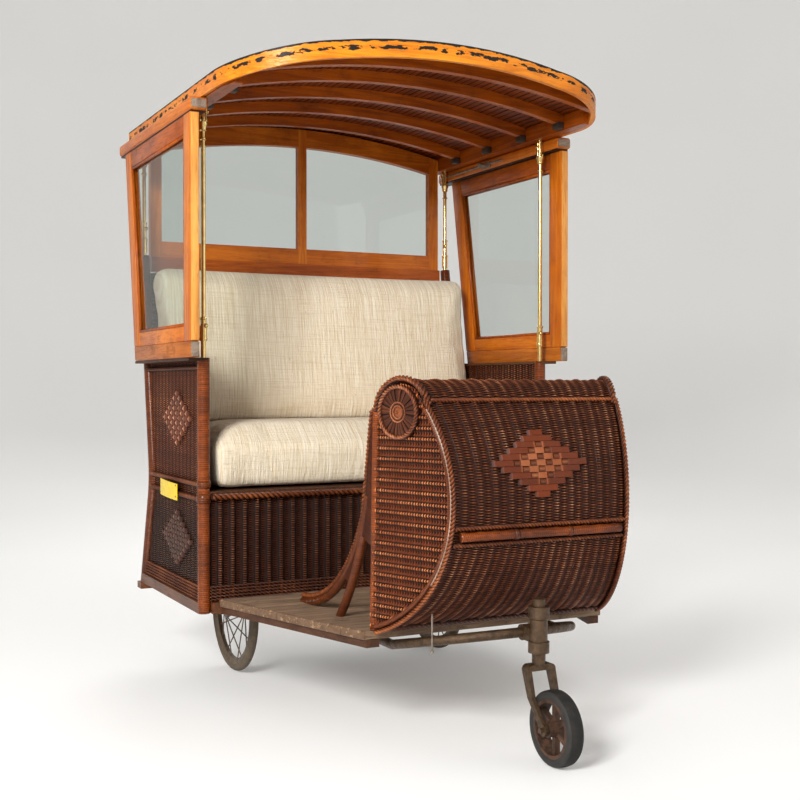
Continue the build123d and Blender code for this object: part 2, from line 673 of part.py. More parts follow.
def roof_plan(inset):
    """The roof's plan with rounded front corners and a bowed front, drawn in by an inset."""
    x = ROOF_X - inset
    front = ROOF_FRONT_Y + inset
    corner = ROOF_CORNER - inset
    corner_y = front + ROOF_BOW + corner
    swing = cos(radians(45)) * corner
    side = Line((-x, ROOF_REAR_Y), (-x, corner_y))
    left = ThreePointArc((-x, corner_y), (-x + corner - swing, corner_y - swing),
                         (-x + corner, corner_y - corner))
    bow = ThreePointArc(left @ 1, (0, front), (x - corner, corner_y - corner))
    right = ThreePointArc(bow @ 1, (x - corner + swing, corner_y - swing), (x, corner_y))
    back = Line((x, corner_y), (x, ROOF_REAR_Y)) + Line((x, ROOF_REAR_Y), (-x, ROOF_REAR_Y))
    return upright(make_face(side + left + bow + right + back), ARM_Z, ROOF_CROWN_Z * 2)


def make_roof():
    outer = roof_plan(0)
    inner = roof_plan(HOOP_THICKNESS)
    keep("roof_hoop", one((roof_layer(0, HOOP_HEIGHT) & outer) - inner))
    top_down = COVER_THICKNESS + SLAT_THICKNESS
    keep("roof_cover", one(roof_layer(0, COVER_THICKNESS) & inner))
    slats = roof_layer(COVER_THICKNESS, top_down) & inner
    count = int(2 * (ROOF_X - HOOP_THICKNESS) // SLAT_PITCH)
    for gap in range(count):
        x = (gap - (count - 1) / 2) * SLAT_PITCH
        slats -= block(x - SLAT_GAP / 2, x + SLAT_GAP / 2, ROOF_FRONT_Y * 1.5, ROOF_REAR_Y * 1.5,
                       ARM_Z, ROOF_CROWN_Z * 2)
    keep("roof_slats", *slats.solids())
    under = roof_layer(top_down, top_down + ROOF_RISE + ROOF_RAIL_HEIGHT)
    rail = block(-ROOF_X, -rail_inner, ROOF_RAIL_FRONT_Y, ROOF_REAR_Y,
                 ROOF_EDGE_Z - ROOF_RAIL_HEIGHT, ROOF_CROWN_Z)
    rail = one((rail & under) & inner)
    keep("roof_rails", *two(rail))
    ribs = []
    arch = roof_layer(top_down, top_down + RIB_DEPTH) & inner
    for y in RIB_PLACES_Y + (ROOF_REAR_Y - RIB_WIDTH / 2,):
        half = rail_inner if y > ROOF_RAIL_FRONT_Y else ROOF_X
        slice_box = block(-half, half, y - RIB_WIDTH / 2, y + RIB_WIDTH / 2, ARM_Z, ROOF_CROWN_Z * 2)
        ribs.append(one(arch & slice_box))
    keep("roof_ribs", *ribs)
    plate_top = ROOF_EDGE_Z - HOOP_HEIGHT
    plate = block(-PLATE_OUTER_X, -PLATE_INNER_X, PLATE_FRONT_Y, ROOF_REAR_Y, WINDOW_TOP_Z, plate_top)
    keep("roof_plates", *two(plate))


make_roof()


# Rear window under the roof's arch
def make_rear_window():
    clear = COVER_THICKNESS + SLAT_THICKNESS + REAR_ARCH_GAP
    depth = WINDOW_THICKNESS
    x = rail_inner
    room = block(-x, x, REAR_WINDOW_Y, REAR_WINDOW_Y + depth, REAR_TOP_Z, ROOF_CROWN_Z)
    body = one(room & roof_layer(clear, clear + ARM_Z))
    light = x - REAR_WINDOW_STILE
    foot = REAR_TOP_Z + REAR_WINDOW_FOOT
    panes = []
    for side in (-1, 1):
        edge = REAR_MULLION / 2
        x0, x1 = sorted((side * edge, side * light))
        opening = block(x0, x1, 0, ROOF_REAR_Y, foot, ROOF_CROWN_Z)
        opening &= roof_layer(clear + REAR_WINDOW_HEAD, clear + ARM_Z)
        body -= opening
        middle = REAR_WINDOW_Y + depth / 2
        panes.append(one(opening & block(x0, x1, middle - GLASS_THICKNESS / 2, middle + GLASS_THICKNESS / 2,
                                         foot, ROOF_CROWN_Z)))
    keep("rear_window", one(body))
    keep("rear_glass", *panes)
    rail = block(-rail_inner, rail_inner, REAR_WINDOW_Y - REAR_RAIL_LAP, REAR_WINDOW_Y + depth,
                 REAR_TOP_Z - REAR_RAIL_HEIGHT, REAR_TOP_Z)
    for post in two(rear_post):
        rail -= post
    keep("rear_rail", one(rail - back_panel))


make_rear_window()


# Brass canopy rods
def make_rods():
    top = ROOF_EDGE_Z - ROOF_RAIL_HEIGHT
    rods = []
    places = ((0.0, ARM_Z, ROD_FRONT_PIN), (REAR_TOP_Y, REAR_TOP_Z, ROD_REAR_PIN))
    for y, foot, pin in places:
        seat = foot + pin
        profile = ((0, foot), (ROD_PIN_RADIUS, foot), (ROD_PIN_RADIUS, seat), (ROD_FERRULE_RADIUS, seat),
                   (ROD_FERRULE_RADIUS, seat + ROD_FERRULE_HEIGHT), (ROD_RADIUS, seat + ROD_FERRULE_HEIGHT),
                   (ROD_RADIUS, top - ROD_FORK_HEIGHT - ROD_COLLAR_HEIGHT),
                   (ROD_COLLAR_RADIUS, top - ROD_FORK_HEIGHT - ROD_COLLAR_HEIGHT),
                   (ROD_COLLAR_RADIUS, top), (0, top))
        rods.extend(two(spun(profile, (-POST_X, y, 0), (0, 0, 1))))
    keep("canopy_rods", *rods)


make_rods()


# Rear axle, carriage tubes and head
def make_carriage():
    tube_z = POST_FOOT_Z - TUBE_RADIUS
    side = pole((-TUBE_X, TUBE_REAR_Y, tube_z), (-TUBE_X, TUBE_BEND_Y, tube_z), TUBE_RADIUS)
    hoop = tube(ThreePointArc((-TUBE_X, TUBE_BEND_Y, tube_z), (0, TUBE_APEX_Y, TUBE_APEX_Z),
                              (TUBE_X, TUBE_BEND_Y, tube_z)), TUBE_RADIUS)
    knuckle = Pos(-TUBE_X, TUBE_BEND_Y, tube_z) * Sphere(TUBE_RADIUS)
    frame = hoop
    for piece in two(side) + two(knuckle):
        frame += piece
    keep("carriage_tube", one(frame))
    half = WHEEL_X + HUB_LENGTH / 2
    end = half + AXLE_NUT
    axle = pole((-end, WHEEL_Y, WHEEL_RADIUS), (end, WHEEL_Y, WHEEL_RADIUS), AXLE_RADIUS)
    for edge in (-end, half + BEARING_GAP):
        axle += pole((edge, WHEEL_Y, WHEEL_RADIUS), (edge + AXLE_NUT - BEARING_GAP, WHEEL_Y, WHEEL_RADIUS),
                     AXLE_NUT_RADIUS)
    keep("rear_axle", one(axle))
    saddle = block(-TUBE_X - AXLE_BLOCK / 2, -TUBE_X + AXLE_BLOCK / 2, WHEEL_Y - AXLE_BLOCK / 2,
                   WHEEL_Y + AXLE_BLOCK / 2, WHEEL_RADIUS - AXLE_RADIUS - AXLE_BLOCK_LIP, tube_z)
    keep("axle_blocks", *two(one(saddle - axle - side)))
    profile = ((STEM_RADIUS + BEARING_GAP, HEAD_BOTTOM_Z), (HEAD_COLLAR_RADIUS, HEAD_BOTTOM_Z),
               (HEAD_COLLAR_RADIUS, HEAD_BOTTOM_Z + HEAD_COLLAR), (HEAD_RADIUS, HEAD_BOTTOM_Z + HEAD_COLLAR),
               (HEAD_RADIUS, HEAD_TOP_Z - HEAD_COLLAR), (HEAD_COLLAR_RADIUS, HEAD_TOP_Z - HEAD_COLLAR),
               (HEAD_COLLAR_RADIUS, HEAD_TOP_Z), (STEM_RADIUS + BEARING_GAP, HEAD_TOP_Z))
    head = spun(profile, (0, HEAD_Y, 0), (0, 0, 1))
    lug = block(-LUG_HALF, LUG_HALF, HEAD_Y + HEAD_RADIUS - HEAD_WALL, TUBE_APEX_Y,
                TUBE_APEX_Z - LUG_HALF, TUBE_APEX_Z + LUG_HALF)
    lug -= pole((0, HEAD_Y, 0), (0, HEAD_Y, HEAD_TOP_Z), HEAD_RADIUS - HEAD_WALL / 2)
    clamp = pole((-CLAMP_LENGTH / 2, TUBE_APEX_Y, TUBE_APEX_Z), (CLAMP_LENGTH / 2, TUBE_APEX_Y, TUBE_APEX_Z),
                 TUBE_RADIUS + CLAMP_WALL)
    keep("head_tube", one(head + lug + clamp - frame))


make_carriage()


# Wire-spoked rear wheels
def make_rear_wheel(side):
    rim_outer = WHEEL_RADIUS - TYRE_RADIUS * 1.5
    rim_inner = rim_outer - RIM_DEPTH
    half_rim = RIM_WIDTH / 2
    rim_profile = ((rim_inner, -half_rim * 0.5), (rim_outer, -half_rim), (rim_outer, half_rim),
                   (rim_inner, half_rim * 0.5))
    rim = spun(rim_profile, (0, 0, 0), (0, 0, 1))
    bore = AXLE_RADIUS + BEARING_GAP
    half = HUB_LENGTH / 2
    flange = half - HUB_FLANGE * 2
    hub_profile = ((bore, -half), (HUB_RADIUS, -half), (HUB_RADIUS, -flange - HUB_FLANGE),
                   (HUB_FLANGE_RADIUS, -flange - HUB_FLANGE), (HUB_FLANGE_RADIUS, -flange),
                   (HUB_RADIUS, -flange), (HUB_RADIUS, flange), (HUB_FLANGE_RADIUS, flange),
                   (HUB_FLANGE_RADIUS, flange + HUB_FLANGE), (HUB_RADIUS, flange + HUB_FLANGE),
                   (HUB_RADIUS, half), (bore, half))
    wheel = rim + spun(hub_profile, (0, 0, 0), (0, 0, 1))
    root = HUB_FLANGE_RADIUS - SPOKE_SEAT
    reach = rim_inner + SPOKE_SEAT
    wires = []
    for pair in range(SPOKE_PAIRS):
        turn = pair * 2 * pi / SPOKE_PAIRS
        for way, height in ((1, flange), (-1, -flange)):
            start = (root * cos(turn), root * sin(turn), height + HUB_FLANGE / 2 * way)
            lead = turn + way * radians(SPOKE_LEAD)
            wires.append(pole(start, (reach * cos(lead), reach * sin(lead), 0), SPOKE_RADIUS))
    wheel = wheel.fuse(*wires)
    tyre_middle = WHEEL_RADIUS - TYRE_RADIUS
    tyre = Torus(tyre_middle, TYRE_RADIUS) - Cylinder(rim_outer, TYRE_RADIUS * 4)
    seat = Pos(side * WHEEL_X, WHEEL_Y, WHEEL_RADIUS) * Rot(0, 90, 0)
    name = "left" if side < 0 else "right"
    keep(f"rear_wheel_{name}", one(seat * wheel))
    keep(f"rear_tyre_{name}", one(seat * tyre))


make_rear_wheel(-1)
make_rear_wheel(1)


# Swivelling front wheel
def make_caster():
    axle_y = HEAD_Y - CASTER_TRAIL
    inside = CASTER_WIDTH / 2 + FORK_GAP
    stem_top = HEAD_TOP_Z + STEM_NUT
    stem = pole((0, HEAD_Y, FORK_CROWN_Z - FORK_CROWN / 2), (0, HEAD_Y, stem_top), STEM_RADIUS)
    stem += pole((0, HEAD_Y, HEAD_TOP_Z + BEARING_GAP), (0, HEAD_Y, stem_top), STEM_NUT_RADIUS)
    stem += pole((0, HEAD_Y, FORK_CROWN_Z), (0, HEAD_Y, HEAD_BOTTOM_Z - BEARING_GAP),
                 STEM_RADIUS + STEM_SHOULDER)
    crown_low = FORK_CROWN_Z - FORK_CROWN
    crown = block(-inside - FORK_LEG, inside + FORK_LEG, HEAD_Y - FORK_LEG_DEPTH * 0.8,
                  HEAD_Y + FORK_LEG_DEPTH * 0.8, crown_low, FORK_CROWN_Z)
    crown = fillet(crown.edges().filter_by(Axis.Y).group_by(Axis.Z)[-1], FORK_CROWN * 0.9)
    knee_z = (crown_low + CASTER_RADIUS) / 2
    leg = make_face(Polyline((HEAD_Y - FORK_LEG_DEPTH * 0.8, crown_low),
                             (HEAD_Y + FORK_LEG_DEPTH * 0.8, crown_low),
                             (HEAD_Y - CASTER_TRAIL * 0.28 + FORK_LEG_DEPTH * 0.6, knee_z),
                             (axle_y + FORK_LEG_DEPTH * 0.6, CASTER_RADIUS),
                             (axle_y - FORK_LEG_DEPTH * 0.6, CASTER_RADIUS),
                             (HEAD_Y - CASTER_TRAIL * 0.28 - FORK_LEG_DEPTH * 0.6, knee_z), close=True))
    left = across(leg, -inside - FORK_LEG, -inside)
    left += pole((-inside - FORK_LEG, axle_y, CASTER_RADIUS), (-inside, axle_y, CASTER_RADIUS),
                 FORK_LEG_DEPTH * 0.75)
    fork = stem + crown
    for piece in two(left):
        fork += piece
    pin_end = inside + FORK_LEG + CASTER_PIN_END
    fork += pole((-pin_end, axle_y, CASTER_RADIUS), (pin_end, axle_y, CASTER_RADIUS), CASTER_PIN_RADIUS)
    keep("caster_fork", one(fork))
    rim_outer = CASTER_RADIUS - CASTER_TYRE
    rim_inner = rim_outer - CASTER_RIM
    half = CASTER_WIDTH / 2
    rim = Cylinder(rim_outer, CASTER_WIDTH * 0.9) - Cylinder(rim_inner, CASTER_WIDTH)
    hub = Cylinder(CASTER_HUB_RADIUS, CASTER_WIDTH + FORK_GAP * 1.5)
    wheel = rim + hub
    arm_box = Box(rim_inner - CASTER_HUB_RADIUS + CASTER_RIM, CASTER_SPOKE_WIDTH, CASTER_SPOKE_DEPTH)
    for spoke in range(CASTER_SPOKES):
        arm = Pos((rim_inner + CASTER_HUB_RADIUS) / 2, 0, 0) * arm_box
        wheel += Rot(0, 0, spoke * 360 / CASTER_SPOKES) * arm
    wheel -= Cylinder(CASTER_PIN_RADIUS + BEARING_GAP, CASTER_WIDTH * 2)
    shoulder = CASTER_RADIUS - CASTER_TYRE * 0.45
    tread = half - CASTER_TYRE * 0.63
    tyre_profile = ((rim_outer, -half), (shoulder, -half), (CASTER_RADIUS, -tread),
                    (CASTER_RADIUS, tread), (shoulder, half), (rim_outer, half))
    tyre = spun(tyre_profile, (0, 0, 0), (0, 0, 1))
    seat = Pos(0, axle_y, CASTER_RADIUS) * Rot(0, 90, 0)
    keep("caster_wheel", one(seat * wheel))
    keep("caster_tyre", one(seat * tyre))


make_caster()


# Push handle behind the back
def make_handle():
    wall = rear_y(HANDLE_Z)
    bar_y = wall + HANDLE_REACH
    bar = pole((-HANDLE_HALF, bar_y, HANDLE_Z), (HANDLE_HALF, bar_y, HANDLE_Z), HANDLE_RADIUS)
    arm = pole((-HANDLE_ARM_X, wall, HANDLE_Z), (-HANDLE_ARM_X, bar_y, HANDLE_Z), HANDLE_ARM_RADIUS)
    arms = []
    for piece in two(arm):
        arms.append(one(piece - bar - back_panel))
    keep("handle_bar", bar)
    keep("handle_arms", *arms)


make_handle()

os.makedirs("parts", exist_ok=True)
for name, solids in nodes.items():
    shape = solids[0] if len(solids) == 1 else Compound(children=solids)
    export_step(shape, f"parts/{name}.step")
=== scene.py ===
import bpy
import numpy as np
from math import atan2, cos, hypot, pi, radians, sin, tan
from mathutils import Matrix, Vector


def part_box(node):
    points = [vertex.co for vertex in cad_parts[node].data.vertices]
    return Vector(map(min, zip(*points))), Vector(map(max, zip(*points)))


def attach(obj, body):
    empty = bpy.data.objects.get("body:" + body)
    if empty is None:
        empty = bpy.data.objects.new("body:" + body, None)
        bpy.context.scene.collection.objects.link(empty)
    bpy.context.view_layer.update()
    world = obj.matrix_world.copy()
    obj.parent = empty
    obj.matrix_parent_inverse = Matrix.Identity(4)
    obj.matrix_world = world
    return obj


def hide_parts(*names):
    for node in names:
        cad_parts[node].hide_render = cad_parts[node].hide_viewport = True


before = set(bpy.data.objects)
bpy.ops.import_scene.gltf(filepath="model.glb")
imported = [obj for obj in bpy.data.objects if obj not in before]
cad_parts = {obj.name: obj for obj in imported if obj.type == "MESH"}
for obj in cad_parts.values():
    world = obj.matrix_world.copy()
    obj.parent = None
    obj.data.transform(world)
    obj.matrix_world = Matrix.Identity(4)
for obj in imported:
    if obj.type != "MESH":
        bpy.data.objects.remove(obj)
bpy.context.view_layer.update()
rng = np.random.default_rng(7)

# Wicker rolling chair: cane walls, wrapped posts, linen cushions, oak canopy and carriage, in metres
CHAIR = "chair"
SIDES = ((-1, "left"), (1, "right"))
UP = (0.0, 0.0, 1.0)

# Seat box, read from the frame
posts_low, posts_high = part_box("front_posts")
POST_RADIUS = (posts_high.y - posts_low.y) / 2
POST_X = posts_high.x - POST_RADIUS
POST_Y = posts_low.y + POST_RADIUS
FOOT_Z = posts_low.z
ARM_Z = posts_high.z
REAR_TOP_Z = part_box("rear_posts")[1].z
SEAT_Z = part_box("seat_deck")[1].z
FLOOR_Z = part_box("floor_boards")[1].z
REAR_FOOT_Y = POST_Y + 0.606
REAR_WAIST_Y = POST_Y + 0.500
REAR_TOP_Y = POST_Y + 0.619
WAIST_RADIUS = 0.260

# Dash, drawn forward from its rear edge and up from the floor
DASH_REAR_Y = POST_Y - 0.592
DASH_REAR_X = 0.328
DASH_FRONT_X = 0.240
DASH_DEPTH = 0.254
DASH_TOE = 0.019
DASH_BELLY = (0.194, 0.126)
DASH_BULGE_HEIGHT = 0.302
DASH_ROLL_REACH = 0.096
DASH_ROLL_HEIGHT = 0.525
DASH_ROLL_RADIUS = 0.079
DASH_ROLL_JOIN = 20.0
DASH_WALL = 0.012
DASH_INSET = 0.004
DASH_SIDE_INSET = 0.006
DASH_LIP = (DASH_REAR_Y - DASH_ROLL_REACH + DASH_ROLL_RADIUS, FLOOR_Z + DASH_ROLL_HEIGHT)
BAR_LOW, BAR_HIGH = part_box("dash_bar")
BAR_Z = (BAR_LOW.z + BAR_HIGH.z) / 2

# Points on the arcs of the dash's outline, how many of them climb to its bulge and how many to its crest
DASH_ARC_POINTS = 40
DASH_FACE_POINTS = 30
UNDER_POINTS = DASH_ARC_POINTS - 1
RISING_POINTS = 85

# Weave
STRAND = 0.0017
ROW_PITCH = 0.0032
BULGE = 0.0032
STAKE_PITCH = 0.018
BACK_STAKE_PITCH = 0.024
BACK_ROW_PITCH = 0.0064
SIDE_STAKE_PITCH = 0.0125
SIDE_ROW_PITCH = 0.0040
DASH_STAKES = 11.5
STAKE_HALF = 0.0006
STAKE_SET_BACK = 0.0008
STAKE_ROW_STEP = 6
FEWEST_ROWS = 8
SHORTEST_ROW = 0.02
POST_TUCK = POST_RADIUS * 0.6
WALL_HALF = POST_X - POST_TUCK
SIDE_FACE_X = POST_X + 0.007

# Braids as (radius, pitch)
BRAID_STEPS = 6
APRON_BRAID = (0.0064, 0.046)
SIDE_BRAID = (0.0042, 0.034)
TOP_BRAID = (0.0036, 0.030)
BORDER_BRAID = (0.0026, 0.026)
BORDER_PITCH = 0.0088
DASH_BORDER_PITCH = 0.0105
EDGE_BRAID = (0.0038, 0.030)
ROLL_BRAID = (0.0050, 0.036)
CREASE_BRAID = (0.0036, 0.028)
BAR_BRAID = (0.0032, 0.027)
STAY_BRAID = (0.0042, 0.032)

# Poles, stays, rosettes and lozenges
CANE_WIDTH = 0.0052
POLE_STEP = 0.012
POLE_RADIUS = 0.0105
BAND_RADIUS = 0.0122
EDGE_POLE_RADIUS = 0.0058
SCUFF_RADIUS = 0.0022
STAY_RADIUS = 0.0115
STAY_X = DASH_REAR_X - 0.013
STAY_RISE = 0.320
WEB_PITCH = 0.0040
ROSETTE_RIM = 0.0595
ROSETTE_SPOKES = 26
REED_HALF = 0.0009
REED_OVER = 0.0012
REED_UNDER = -0.0022
REED_END = -0.005
LOZENGE_ROWS = 5
LOZENGE_Y = 0.235
LOZENGE_LEVELS = (("upper", 0.198), ("lower", -0.150))

# Canopy
HOOP_HEIGHT = 0.046
BEAD_PITCH = 0.021
REAR_MULLION_HALF = 0.015
REAR_STILE = 0.036
WINDOW_STILE = 0.062
WINDOW_HEAD = 0.050
WINDOW_FOOT = 0.041
GLASS_BEAD = 0.009
END_PROUD = 0.0016
PLATE_INNER_X = 0.560
BASE_BOARD_WIDTH = 0.026
RIB_PLACES = (-0.150, 0.060, 0.270, 0.480)
ROOF_RAIL_WIDTH = 0.040

# Foot boards, cushions and side plate
PLANKS = 7
PLANK_GAP = 0.001
FLOOR_FRONT_HALF = 0.346
FLOOR_REAR_HALF = 0.515
PAD_VOXEL = 0.0130
PAD_FRAMES = 20
CUSHION_SINK = 0.004
PLATE_START = 0.186
PLATE_LENGTH = 0.174

# Stage, lamps as (name, place, target, size, power) and camera
FLOOR_REACH = 4.0
BOWL_RADIUS = 5.0
BOWL_TOP = 9.0
STAGE_GLOW = 0.22
SKY_POWER = 0.42
LAMPS = (
    ("key", (-3.2, -2.9, 2.5), (0, 0, 0.9), 1.2, 230),
    ("fill", (3.4, -3.6, 2.2), (0, 0, 0.8), 2.6, 25),
    ("back", (1.5, 4.0, 3.4), (0, 0, 1.0), 2.4, 80),
)
CAMERA_PLACE = (-1.5577, POST_Y - 3.1835, 0.8755)
CAMERA_YAW = 26.863
CAMERA_PITCH = -0.738
CAMERA_LENS = 54.0


# Colours and shader groups

def srgb(red, green, blue):
    """A screen colour of 0 to 255 as a linear colour."""
    def line(value):
        value /= 255
        return value / 12.92 if value <= 0.04045 else ((value + 0.055) / 1.055) ** 2.4
    return (line(red), line(green), line(blue), 1.0)


class Graph:
    """Short ways to add and join the nodes of a material or a group."""

    def __init__(self, tree):
        self.tree = tree

    def add(self, kind, **values):
        node = self.tree.nodes.new(kind)
        for key, value in values.items():
            setattr(node, key, value)
        return node

    def join(self, source, target):
        self.tree.links.new(source, target)

    def feed(self, socket, value):
        if isinstance(value, bpy.types.NodeSocket):
            self.join(value, socket)
        else:
            socket.default_value = value

    def math(self, operation, first, second=0.0, clamp=False):
        node = self.add("ShaderNodeMath", operation=operation, use_clamp=clamp)
        self.feed(node.inputs[0], first)
        self.feed(node.inputs[1], second)
        return node.outputs[0]

    def mix(self, factor, first, second, blend="MIX"):
        node = self.add("ShaderNodeMix", data_type="RGBA", blend_type=blend)
        self.feed(node.inputs[0], factor)
        self.feed(node.inputs[6], first)
        self.feed(node.inputs[7], second)
        return node.outputs[2]

    def noise(self, vector, scale, detail=4.0, roughness=0.55, distortion=0.0):
        node = self.add("ShaderNodeTexNoise")
        self.feed(node.inputs["Vector"], vector)
        self.feed(node.inputs["Scale"], scale)
        node.inputs["Detail"].default_value = detail
        node.inputs["Roughness"].default_value = roughness
        node.inputs["Distortion"].default_value = distortion
        return node.outputs["Fac"]

    def span(self, value, low, high, to_low=0.0, to_high=1.0):
        node = self.add("ShaderNodeMapRange")
        self.feed(node.inputs["Value"], value)
        node.inputs["From Min"].default_value = low
        node.inputs["From Max"].default_value = high
        node.inputs["To Min"].default_value = to_low
        node.inputs["To Max"].default_value = to_high
        return node.outputs["Result"]

    def scaled(self, vector, scale):
        node = self.add("ShaderNodeMapping")
        self.feed(node.inputs["Vector"], vector)
        node.inputs["Scale"].default_value = scale
        return node.outputs["Vector"]

    def place(self):
        return self.add("ShaderNodeTexCoord").outputs["Object"]

    def axes(self):
        node = self.add("ShaderNodeSeparateXYZ")
        self.join(self.place(), node.inputs[0])
        return node.outputs

    def value_of(self, name):
        return self.add("ShaderNodeAttribute", attribute_name=name).outputs["Fac"]

    def use(self, group, **values):
        node = self.add("ShaderNodeGroup", node_tree=group)
        for key, value in values.items():
            self.feed(node.inputs[key], value)
        return node.outputs


def new_group(name, inputs, outputs):
    """A shader group with named sockets: its graph and its two ends."""
    tree = bpy.data.node_groups.new(name, "ShaderNodeTree")
    kinds = {"value": "NodeSocketFloat", "colour": "NodeSocketColor", "vector": "NodeSocketVector"}
    for label, kind in inputs:
        tree.interface.new_socket(label, in_out="INPUT", socket_type=kinds[kind])
    for label, kind in outputs:
        tree.interface.new_socket(label, in_out="OUTPUT", socket_type=kinds[kind])
    graph = Graph(tree)
    return graph, graph.add("NodeGroupInput").outputs, graph.add("NodeGroupOutput").inputs


def grain_group():
    """Wood figure along the long axis of a stretched vector, with pores and old dirt stains."""
    graph, given, put = new_group(
        "wood_grain", [("Vector", "vector"), ("Pale", "colour"), ("Deep", "colour"), ("Grime", "value")],
        [("Colour", "colour"), ("Height", "value"), ("Gloss", "value")])
    figure = graph.noise(given["Vector"], 1.0, 5.0, 0.6, 0.8)
    bands = graph.math("SINE", graph.math("MULTIPLY", figure, 26.0))
    bands = graph.span(bands, -1.0, 1.0)
    pores = graph.noise(graph.scaled(given["Vector"], (9.0, 9.0, 9.0)), 1.0, 3.0, 0.7)
    pores = graph.span(pores, 0.52, 0.72)
    drift = graph.span(graph.noise(graph.place(), 5.0, 3.0), 0.35, 0.7)
    blend = graph.math("ADD", graph.math("MULTIPLY", bands, 0.45), graph.math("MULTIPLY", drift, 0.55), True)
    colour = graph.mix(blend, given["Pale"], given["Deep"])
    colour = graph.mix(graph.math("MULTIPLY", pores, 0.35), colour, srgb(60, 28, 10))
    stain = graph.span(graph.noise(graph.place(), 14.0, 6.0, 0.7), 0.55, 0.75)
    stain = graph.math("MULTIPLY", stain, given["Grime"])
    graph.join(graph.mix(stain, colour, srgb(34, 17, 8)), put["Colour"])
    graph.join(graph.math("MULTIPLY", pores, -1.0), put["Height"])
    dull = graph.math("ADD", graph.math("MULTIPLY", pores, 0.2), graph.math("MULTIPLY", stain, 0.4), True)
    graph.join(dull, put["Gloss"])
    return graph.tree


def dirt_group():
    """Blotches of dust or rust laid over a colour."""
    graph, given, put = new_group(
        "blotches", [("Base", "colour"), ("Blotch", "colour"), ("Scale", "value"), ("Amount", "value")],
        [("Colour", "colour"), ("Mask", "value"), ("Height", "value")])
    broad = graph.noise(graph.place(), given["Scale"], 8.0, 0.65)
    mask = graph.math("MULTIPLY", graph.span(broad, 0.42, 0.66), given["Amount"], True)
    graph.join(graph.mix(mask, given["Base"], given["Blotch"]), put["Colour"])
    graph.join(mask, put["Mask"])
    fine = graph.noise(graph.place(), graph.math("MULTIPLY", given["Scale"], 9.0), 4.0, 0.6)
    graph.join(fine, put["Height"])
    return graph.tree


def cane_group():
    """Cane with painted light from its relief: painted shade where it lies deep, warm where it turns, and
    pale where it stands proud, which is wear and painted highlight.
    """
    graph, given, put = new_group(
        "cane_tone", [("Relief", "value"), ("Tone", "value"), ("Hollow", "colour"), ("Turn", "colour"),
                      ("Proud", "colour"), ("Worn", "colour")],
        [("Colour", "colour"), ("Gloss", "value")])
    # Painted light from the relief: painted shade where the cane lies deep, lighter where it stands proud.
    turn = graph.span(given["Relief"], 0.05, 0.5)
    lift = graph.span(given["Relief"], 0.5, 1.0)
    colour = graph.mix(turn, given["Hollow"], given["Turn"])
    colour = graph.mix(lift, colour, given["Proud"])
    drift = graph.noise(graph.place(), 7.0, 5.0, 0.6)
    # Pale patches on proud cane: wear and painted highlight.
    wear_and_highlight = graph.math("MULTIPLY", graph.span(drift, 0.38, 0.62), graph.math("POWER", lift, 2.0))
    wear_and_highlight = graph.math("MULTIPLY", wear_and_highlight, graph.span(given["Tone"], 0.0, 1.0, 0.25, 1.0))
    colour = graph.mix(wear_and_highlight, colour, given["Worn"])
    shade = graph.math("MULTIPLY", graph.span(given["Tone"], 0.0, 1.0, 0.72, 1.25),
                       graph.span(drift, 0.3, 0.7, 0.8, 1.15))
    bright = graph.add("ShaderNodeHueSaturation")
    graph.join(colour, bright.inputs["Color"])
    graph.join(shade, bright.inputs["Value"])
    graph.join(bright.outputs["Color"], put["Colour"])
    graph.join(graph.span(lift, 0.0, 1.0, 0.55, 0.3), put["Gloss"])
    return graph.tree


GRAIN = grain_group()
DIRT = dirt_group()
CANE = cane_group()


def new_material(name):
    """A material with one main shader: its graph and that shader's inputs."""
    material = bpy.data.materials.new(name)
    material.use_nodes = True
    graph = Graph(material.node_tree)
    return material, graph, material.node_tree.nodes["Principled BSDF"].inputs


SOCKETS = {"rough": "Roughness", "specular": "Specular IOR Level", "coat": "Coat Weight",
           "coat_rough": "Coat Roughness", "metallic": "Metallic", "sheen": "Sheen Weight"}


def tuned(shader, **values):
    """Set plain values of a shader by short names."""
    for key, value in values.items():
        shader[SOCKETS[key]].default_value = value


def bumped(graph, shader, height, distance):
    """Join a height to the shader's normal."""
    node = graph.add("ShaderNodeBump")
    node.inputs["Strength"].default_value = 1.0
    node.inputs["Distance"].default_value = distance
    graph.join(height, node.inputs["Height"])
    graph.join(node.outputs["Normal"], shader["Normal"])


def wood(name, axis, pale, deep, grime_and_shade=0.3, rough=0.34, coat=0.12, across=26.0, length=1.7):
    """Wood whose grain runs along X, Y or Z."""
    material, graph, shader = new_material(name)
    scale = [across] * 3
    scale["XYZ".index(axis)] = length
    out = graph.use(GRAIN, Vector=graph.scaled(graph.place(), scale), Pale=pale, Deep=deep, Grime=grime_and_shade)
    graph.join(out["Colour"], shader["Base Color"])
    graph.join(graph.math("ADD", out["Gloss"], rough), shader["Roughness"])
    tuned(shader, specular=0.22, coat=coat, coat_rough=0.18)
    bumped(graph, shader, out["Height"], 0.0006)
    return material


def metal(name, base, blotch, amount, rough, metallic, scale=30.0, bump=0.0005):
    """Painted or bare metal with blotches of wear."""
    material, graph, shader = new_material(name)
    out = graph.use(DIRT, Base=base, Blotch=blotch, Scale=scale, Amount=amount)
    graph.join(out["Colour"], shader["Base Color"])
    graph.join(graph.math("ADD", graph.math("MULTIPLY", out["Mask"], 0.25), rough), shader["Roughness"])
    tuned(shader, metallic=metallic)
    bumped(graph, shader, out["Height"], bump)
    return material


